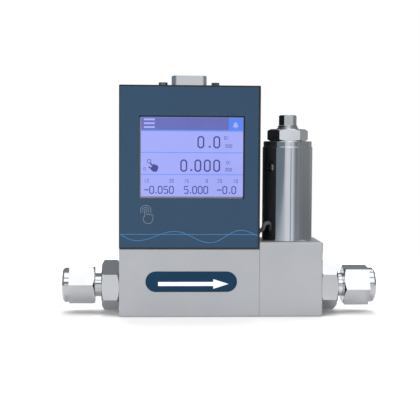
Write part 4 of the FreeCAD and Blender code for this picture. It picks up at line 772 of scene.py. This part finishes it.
@dataclass
class Display:
    """The display behind the window: metal frame, lit layers, figures and signs."""

    left: float = -38.5
    right: float = 10.5
    low: float = 55.75
    high: float = 94.25
    rim: float = 0.75
    front: float = -14.7
    screen: float = -14.4
    bar_low: float = 87.65
    cell_left: float = 3.1
    large: tuple[float, float] = (2.55, 5.05)
    small: tuple[float, float] = (1.8, 3.3)
    label: tuple[float, float] = (0.75, 1.5)
    unit: tuple[float, float] = (0.75, 1.4)
    large_stroke: float = 0.85
    small_stroke: float = 0.58
    label_stroke: float = 0.26

    def make(self) -> None:
        """Builds every layer and dresses the module behind them."""
        dress(CASE_BLACK, "display_module")
        self.frame_ring()
        self.layers()
        self.signs()
        self.figures()

    def frame_ring(self) -> None:
        """Builds a black sheet that shows at the top and right of the window as painted shade, and the light
        metal frame only at the left and bottom as their painted lit sides.
        """
        # Painted shade: a black sheet behind the window shows at its top and right edges, where the recess is
        # in shade.
        painted_shade_gap = plate(rectangle(self.left, self.low, self.right, self.high), self.screen + 0.2, 0.15)
        finished("display_painted_shade_gap", mesh_of("display_painted_shade_gap", painted_shade_gap), CASE_BLACK)
        # Painted light: the metal frame is drawn only at the left and bottom, the lit sides of the window's
        # recess.
        wide = self.rim - 0.1
        right, high = self.right - self.rim, self.high - self.rim
        corners = [
            (self.left, self.low),
            (right, self.low),
            (right, self.low + wide),
            (self.left + wide, self.low + wide),
            (self.left + wide, high),
            (self.left, high),
        ]
        ring = plate(corners, self.screen + 0.05, 0.25)
        front = [edge for edge in ring.edges if max(v.co.y for v in edge.verts) < (self.screen - 0.1) * MM]
        bmesh.ops.bevel(ring, geom=front, affect="EDGES", offset=0.12 * MM, segments=2, profile=0.5,
                        material=-1)
        finished("display_frame", mesh_of("display_frame", ring), FRAME_GREY)

    def layers(self) -> None:
        """Builds the lit back, the title bar, the alarm cell and the rules."""
        rim = self.rim
        left, right = self.left + rim, self.right - rim
        low, high = self.low + rim + 0.2, self.high - rim
        back = self.sheet("screen_back", left - 0.1, low - 0.1, right + 0.1, high + 0.1, 0.0)
        back = finished("screen_back", back, SCREEN_BACK)
        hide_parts("display_glass")
        bar = self.sheet("screen_title_bar", left, self.bar_low, self.cell_left, high, 0.02)
        finished("screen_title_bar", bar, SCREEN_TITLE)
        cell = self.sheet("screen_alarm_cell", self.cell_left, self.bar_low, right, high, 0.02)
        finished("screen_alarm_cell", cell, SCREEN_CELL)
        rules = []
        for level, thick in ((87.35, 0.5), (77.2, 0.32), (66.95, 0.32)):
            rule = rectangle(left, level - thick / 2, right, level + thick / 2)
            rules.append(plate(rule, self.screen, 0.03))
        finished("screen_rules", mesh_of("screen_rules", joined(rules)), SCREEN_RULE)

    def sheet(self, name: str, left: float, low: float, right: float, high: float,
              raised: float) -> bpy.types.Mesh:
        """Makes one lit layer.

        Args:
            name: Name of the mesh.
            left: Left edge in millimetres.
            low: Lower edge in millimetres.
            right: Right edge in millimetres.
            high: Upper edge in millimetres.
            raised: Height over the lit back in millimetres.

        Returns:
            The mesh.
        """
        return mesh_of(name, plate(rectangle(left, low, right, high), self.screen + 0.1, 0.1 + raised))

    def signs(self) -> None:
        """Draws the menu bars, the bell and the small hand."""
        depth = self.screen - 0.02
        bars = [plate(rectangle(-36.5, low, -31.4, low + 0.85), depth, 0.02) for low in (92.1, 90.3, 88.5)]
        bell = [(4.95, 89.15), (7.55, 89.15)] + arc((6.25, 90.5), 0.85, 0, 180, 8)
        bars.append(plate(bell, depth, 0.02))
        bars.append(plate(arc((6.25, 88.9), 0.4, 0, 330, 10), depth, 0.02))
        signs = mesh_of("screen_menu_and_bell", joined(bars))
        finished("screen_menu_and_bell", signs, SCREEN_PALE)
        depth = self.screen - 0.005
        marks = [ink_line(arc((-34.0, 73.1), 0.85, 0, 340, 14), 0.32, depth, True)]
        fingers = [
            ((-33.7, 72.4), (-31.6, 70.2)),
            ((-32.0, 71.8), (-31.2, 70.4)),
            ((-31.1, 71.5), (-30.6, 70.2)),
            ((-30.3, 71.1), (-30.0, 69.9)),
            ((-34.2, 70.5), (-32.6, 69.4)),
        ]
        marks += [ink_line([start, end], 0.8, depth) for start, end in fingers]
        palm = [(-32.9, 70.6), (-29.75, 70.6), (-29.9, 69.3), (-30.5, 68.2), (-32.2, 68.2), (-33.3, 69.2)]
        marks.append(plate(palm, self.screen, 0.02))
        finished("screen_hand", mesh_of("screen_hand", joined(marks)), SCREEN_INK)

    def figures(self) -> None:
        """Draws the readings and their small labels."""
        low_row, label_row = 58.1, 63.2
        rows = [
            ("0.0", -11.2, 79.55, self.large, 4.95, self.large_stroke),
            ("0.000", -19.15, 68.6, self.large, 4.4, self.large_stroke),
            ("-0.050", -36.3, low_row, self.small, 2.62, self.small_stroke),
            ("5.000", -17.6, low_row, self.small, 2.62, self.small_stroke),
            ("-0.0", -2.3, low_row, self.small, 2.8, self.small_stroke),
        ]
        labels = [("12", -36.2), ("20", -24.6), ("15", -17.6), ("0", -7.4), ("25", -2.0), ("10", 5.4)]
        for sign, left in labels:
            rows.append((sign, left, label_row, self.label, 1.2, self.label_stroke))
        for sign, left, low in (("01", 1.1, 83.4), ("01", 2.2, 71.9), ("200", 1.4, 79.6), ("200", 1.4, 68.6)):
            rows.append((sign, left, low, self.unit, 1.2, self.label_stroke))
        rows.append(("0", -36.6, 68.9, (0.9, 1.2), 1.2, 0.22))
        digits = Digits(self.screen - 0.005)
        shapes = []
        for row in rows:
            shapes += digits.write(*row)
        finished("screen_figures", mesh_of("screen_figures", joined(shapes)), SCREEN_INK)


@dataclass
class Connector:
    """The nine-pin data connector on top."""

    def make(self) -> None:
        """Dresses the nodes."""
        dress(NICKEL_SHELL, "connector_shell")
        dress(INSERT_BLACK, "connector_insert")
        dress(CONTACT_GOLD, "connector_contacts")
        dress(DARK_NICKEL, "jack_posts")


@dataclass
class ValveDrive:
    """The coil of the control valve, its nut and screw, its lead and its return spring."""

    axis: float = 32.5
    spring_radius: float = 1.4
    spring_wire: float = 0.25
    spring_turns: int = 9
    spring_low: float = 46.65
    spring_high: float = 68.25
    stroke: float = 0.5

    def make(self) -> None:
        """Dresses the nodes and winds the spring."""
        dress(PLATED, "coil_housing", "coil_cap", "adjuster_washer")
        dress(PLATED_NUT, "coil_nut")
        dress(PLATED_SCREW, "adjusting_screw")
        dress(DARK_NICKEL, "coil_set_screw")
        dress(LEAD_SLEEVE, "valve_lead")
        dress(ELASTOMER, "lead_grommet")
        self.spring()

    def spring(self) -> None:
        """Winds the spring between its low and high ends."""
        wire = self.spring_wire
        steps = self.spring_turns * 40
        climb = self.spring_high - self.spring_low - 2 * wire
        shape = bmesh.new()
        section = bmesh.ops.create_circle(shape, segments=12, radius=wire * MM)["verts"]
        bmesh.ops.rotate(shape, cent=(0, 0, 0), matrix=Matrix.Rotation(math.pi / 2, 3, "X"), verts=section)
        start = ((self.axis + self.spring_radius) * MM, 0.0, (self.spring_low + wire) * MM)
        bmesh.ops.translate(shape, vec=start, verts=section)
        bmesh.ops.spin(shape, geom=shape.verts[:] + shape.edges[:], cent=(self.axis * MM, 0.0, 0.0),
                       axis=(0, 0, 1), dvec=(0.0, 0.0, climb / steps * MM),
                       angle=math.tau * self.spring_turns, steps=steps)
        bmesh.ops.holes_fill(shape, edges=shape.edges[:], sides=12)
        piece = finished("return_spring", mesh_of("return_spring", shape), SPRING_WIRE)
        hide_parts("valve_spring")
        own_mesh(piece)


@dataclass
class Internals:
    """Everything that the blocks, the housing and the coil hide."""

    def make(self) -> None:
        """Dresses the nodes."""
        dress(SENSOR_STEEL, "laminar_element", "sensor_base", "sensor_cover", "capillary_tube")
        dress(SINTERED, "inlet_filter")
        dress(COPPER, "coil_winding", "sensor_windings")
        dress(NYLON, "coil_bobbin")
        dress(CORE_STEEL, "core_tube", "pole_piece", "armature", "valve_seat")
        dress(ELASTOMER, "sealing_disc")
        dress(SCREW_STEEL, "sensor_screws", "housing_screws", "board_screws")
        dress(MASK_GREEN, "main_board")
        dress(CHIP_BLACK, "board_chips")
        dress(CAN_METAL, "board_capacitors")
        dress(SPACER_BRASS, "board_spacers")
        dress(NATURAL_NYLON, "valve_socket")


@dataclass
class Studio:
    """Pale floor, soft light and the camera at the photograph's angle."""

    focal: float = 1039.8
    frame_width: float = 420.0
    yaw: float = 2.937
    pitch: float = 3.485
    roll: float = 0.33
    eye: tuple[float, float, float] = (-0.0304, -0.5, 0.08)
    floor_radius: float = 0.3
    floor_white: float = 0.9
    floor_glow: float = 0.36
    # Reach of the painted contact shadow on the floor, in metres.
    painted_shadow_reach: float = 0.01
    ambient: float = 0.46
    ceiling: float = 1.6
    panel_left: float = -0.33
    panel_right: float = 0.13
    panel_growth: float = 100.0
    streak_left: float = 0.195

    LEFT_BANDS = ((14, 0.52), (27, 0.12), (49, 1.0), (56, 0.1), (90, 1.0), (97, 0.5), (180, 0.16))
    RIGHT_BANDS = ((11, 0.52), (20, 0.12), (52, 1.0), (58, 0.1), (91, 1.0), (97, 0.5), (103, 0.14),
                   (126, 1.0), (180, 0.16))
    FAR_BANDS = ((11, 0.52), (20, 0.12), (52, 1.0), (58, 0.1), (91, 1.0), (97, 0.5), (180, 0.14))

    def make(self) -> None:
        """Builds the floor, the world, the lamps and the camera."""
        self.floor()
        self.world()
        self.lamp("overhead", (0.0, 0.2, 0.75), (0.26, 0.26), (0.0, 0.0, 0.0), 2.4)
        self.lamp("front_fill", (-0.45, -1.0, 0.24), (0.4, 0.4), (0.0, 0.0, 0.06), 6.4)
        self.camera()

    def floor(self) -> None:
        """Builds the white floor, which keeps the meter's shadow from the lamps and has a painted contact
        shadow under the meter.
        """
        shape = bmesh.new()
        bmesh.ops.create_circle(shape, cap_ends=True, segments=96, radius=self.floor_radius)
        mesh = bpy.data.meshes.new("floor")
        shape.to_mesh(mesh)
        shape.free()
        piece = bpy.data.objects.new("floor", mesh)
        bpy.context.scene.collection.objects.link(piece)
        shader = Shader("floor_white")
        shader.feed("Base Color", (self.floor_white, self.floor_white, self.floor_white, 1.0))
        shader.feed("Roughness", 0.9)
        shader.surface.inputs["Specular IOR Level"].default_value = 0.0
        rays = shader.node("ShaderNodeLightPath")
        seen = self.seen(shader, rays)
        painted_reflection = Socket(shader, rays.outputs["Is Glossy Ray"]) * self.painted_reflection_share(shader)
        reach = shader.output("ShaderNodeVectorMath", "Value", {"operation": "LENGTH"}, {0: shader.place})
        # Painted shadow: ambient occlusion dims the floor's glow under and beside the meter.
        painted_contact_shade = shader.output("ShaderNodeAmbientOcclusion", "AO", {"samples": 16},
                             {"Distance": self.painted_shadow_reach})
        far = seen * reach.smooth(0.1, 0.24) * (1.04 - self.floor_glow)
        level = (seen + painted_reflection) * painted_contact_shade.smooth(0.35, 0.8) * self.floor_glow + far
        shader.feed("Emission Color", shader.scaled((1.0, 1.0, 1.0), level))
        shader.feed("Emission Strength", 1.0)
        mesh.materials.append(shader.material)

    def seen(self, nodes: Nodes, rays: bpy.types.Node) -> Socket:
        """Gives 1 for rays that come straight from the camera or through glass, else 0."""
        direct, through = (rays.outputs[name] for name in ("Is Camera Ray", "Is Transmission Ray"))
        return Socket(nodes, direct) + Socket(nodes, through)

    def painted_reflection_share(self, shader: Shader) -> Socket:
        """Gives the share of the floor's glow that metal mirrors, with a painted reflection near the outlet
        nut.

        Args:
            shader: The floor's shader.

        Returns:
            The share.
        """
        split = shader.node("ShaderNodeSeparateXYZ", None, {0: shader.place})
        across, deep = (Socket(shader, split.outputs[name]) for name in ("X", "Y"))
        # Painted reflection: near the outlet nut the floor glows more for glossy rays only, which lightens
        # the nut's lower facets.
        outlet = across.smooth(0.05, 0.06)
        close = deep.smooth(-0.06, -0.04) * (1 - across.smooth(0.07, 0.076))
        return (1 - outlet) * 0.1 + outlet * close * 0.8

    def world(self) -> None:
        """Builds the studio round the meter: white for the camera, panels and dark gaps for the rest."""
        world = bpy.data.worlds.new("studio")
        bpy.context.scene.world = world
        world.use_nodes = True
        nodes = Nodes(world.node_tree)
        way = nodes.output("ShaderNodeTexCoord", "Generated")
        axes = nodes.node("ShaderNodeSeparateXYZ", None, {0: way})
        right, back, up = (Socket(nodes, axes.outputs[i]) for i in range(3))
        panels = self.panels(right, back, up)
        rays = nodes.node("ShaderNodeLightPath")
        spread = Socket(nodes, rays.outputs["Is Diffuse Ray"])
        calm = (self.ambient, self.ambient, self.ambient, 1.0)
        colour = nodes.mix(spread, panels, calm)
        colour = nodes.mix(self.seen(nodes, rays), colour, (1.0, 1.0, 1.0, 1.0))
        light = nodes.output("ShaderNodeBackground", 0, None, {"Color": colour, "Strength": 1.0})
        nodes.node("ShaderNodeOutputWorld", None, {"Surface": light})

    def panels(self, right: Socket, back: Socket, up: Socket) -> Socket:
        """Lays out what the polished metal mirrors.

        Args:
            right: Share of the direction that points right.
            back: Share of the direction that points back.
            up: Share of the direction that points up.

        Returns:
            The colour in each direction.
        """
        nodes = right.nodes
        turn = up.maths("ARCTAN2", up, 0 - back) / math.pi
        left_side = self.ramp(nodes, turn, self.LEFT_BANDS)
        right_side = self.ramp(nodes, turn, self.RIGHT_BANDS)
        far_side = self.ramp(nodes, turn, self.FAR_BANDS)
        overhead = nodes.mix(right.smooth(0.02, 0.1), left_side, right_side)
        overhead = nodes.mix(right.smooth(0.28, 0.34), overhead, far_side)
        bright = nodes.scaled(overhead, self.ceiling)
        return nodes.mix(up.smooth(0.19, 0.24), self.horizon(right, back, up), bright)

    def ramp(self, nodes: Nodes, turn: Socket, bands: tuple[tuple[float, float], ...]) -> Socket:
        """Lays bright and dark bands over the meter, from the front over the top to the back.

        Args:
            nodes: The node tree.
            turn: Angle of the direction from the front, as a share of half a turn.
            bands: End of each band in degrees and its level.

        Returns:
            The colour of the band.
        """
        stops = []
        start = 0.0
        for end, level in bands:
            blue = 1.0 if level > 0.5 else 1.12
            colour = (level, level * (1 + (blue - 1) / 2), level * blue, 1.0)
            stops.append(((start + 0.6) / 180, colour))
            stops.append(((end - 0.6) / 180, colour))
            start = end
        return nodes.output("ShaderNodeValToRGB", 0, {"stops": stops}, {0: turn})

    def horizon(self, right: Socket, back: Socket, up: Socket) -> Socket:
        """Lays out the studio walls: dull blue on the left, bright in front, grey on the right.

        Args:
            right: Share of the direction that points right.
            back: Share of the direction that points back.
            up: Share of the direction that points up.

        Returns:
            The colour of the wall.
        """
        nodes = right.nodes
        front = (0 - back).smooth(0.0, 0.12)
        high = up.smooth(-0.09, 0.0)
        grey = nodes.mix(high, linear(124, 127, 130), linear(142, 144, 145))
        shade = nodes.mix(right.smooth(-0.3, 0.4), linear(117, 131, 140), grey)
        flat = nodes.output("ShaderNodeCombineXYZ", 0, None, {0: right, 1: back})
        ripple = nodes.noise(flat, 16.0, 3.0).smooth(0.4, 0.6)
        shade = nodes.mix(ripple * 0.4 * right.smooth(0.46, 0.5), shade, linear(96, 98, 98))
        dim_side = back.smooth(0.3, 0.6) * right.smooth(0.3, 0.6) * high
        shade = nodes.mix(dim_side, shade, linear(150, 152, 153))
        end = self.panel_right + up.smooth(0.0055, 0.0062) * 0.14
        wide = right.smooth(self.panel_left - up * up * self.panel_growth, self.panel_left + 0.05)
        wide = wide * (1 - right.smooth(end, end + 0.01)) * front
        aside = right.maths("ABSOLUTE", right)
        wide = wide + (1 - aside.smooth(0.74, 0.8) - wide) * up.smooth(0.035, 0.05) * front
        panel = nodes.mix(right.smooth(-0.4, -0.12), linear(205, 207, 210), linear(232, 233, 235))
        colour = nodes.mix(wide, shade, panel)
        fade = (1 - right.smooth(0.26, 0.54)) * 0.86 + (1 - right.smooth(0.6, 0.96)) * 0.14 * (1 - high)
        streak = right.smooth(self.streak_left, self.streak_left + 0.01) * fade * front
        return nodes.mix(streak, colour, linear(224, 232, 242))

    def lamp(self, name: str, where: tuple[float, float, float], size: tuple[float, float],
             target: tuple[float, float, float], power: float) -> None:
        """Adds a soft rectangular lamp, which polished metal doesn't show.

        Args:
            name: Name of the lamp.
            where: Its place in metres.
            size: Its width and height in metres.
            target: The point it faces.
            power: Its power in watts.
        """
        data = bpy.data.lights.new(name, "AREA")
        data.shape = "RECTANGLE"
        data.size, data.size_y = size
        data.energy = power
        lamp = bpy.data.objects.new(name, data)
        lamp.location = where
        lamp.rotation_euler = (Vector(target) - Vector(where)).to_track_quat("-Z", "Y").to_euler()
        lamp.visible_camera = False
        lamp.visible_glossy = False
        bpy.context.scene.collection.objects.link(lamp)

    def camera(self) -> None:
        """Places the camera as the photograph's perspective gives it."""
        yaw, pitch, roll = (math.radians(angle) for angle in (self.yaw, self.pitch, self.roll))
        look = Vector((math.sin(yaw) * math.cos(pitch), math.cos(yaw) * math.cos(pitch), -math.sin(pitch)))
        level = Vector((math.cos(yaw), -math.sin(yaw), 0.0))
        upright = level.cross(look)
        right = level * math.cos(roll) + upright * math.sin(roll)
        over = upright * math.cos(roll) - level * math.sin(roll)
        data = bpy.data.cameras.new("camera")
        data.sensor_width = 36.0
        data.lens = self.focal / self.frame_width * 36.0
        data.clip_start = 0.01
        camera = bpy.data.objects.new("camera", data)
        axes = Matrix((right, over, -look)).transposed().to_4x4()
        camera.matrix_world = Matrix.Translation(self.eye) @ axes
        bpy.context.scene.collection.objects.link(camera)
        bpy.context.scene.camera = camera


def main() -> None:
    """Builds the studio and every sub-assembly."""
    logging.basicConfig(level=logging.INFO, format="%(message)s")
    bpy.context.scene.view_settings.view_transform = "Standard"
    parts = [Studio(), Blocks(), Fittings(), DirectionPlate(), Housing(), Display(), Connector(),
             ValveDrive(), Internals()]
    for part in parts:
        LOG.info("making %s", type(part).__name__)
        part.make()


if __name__ == "__main__":
    main()
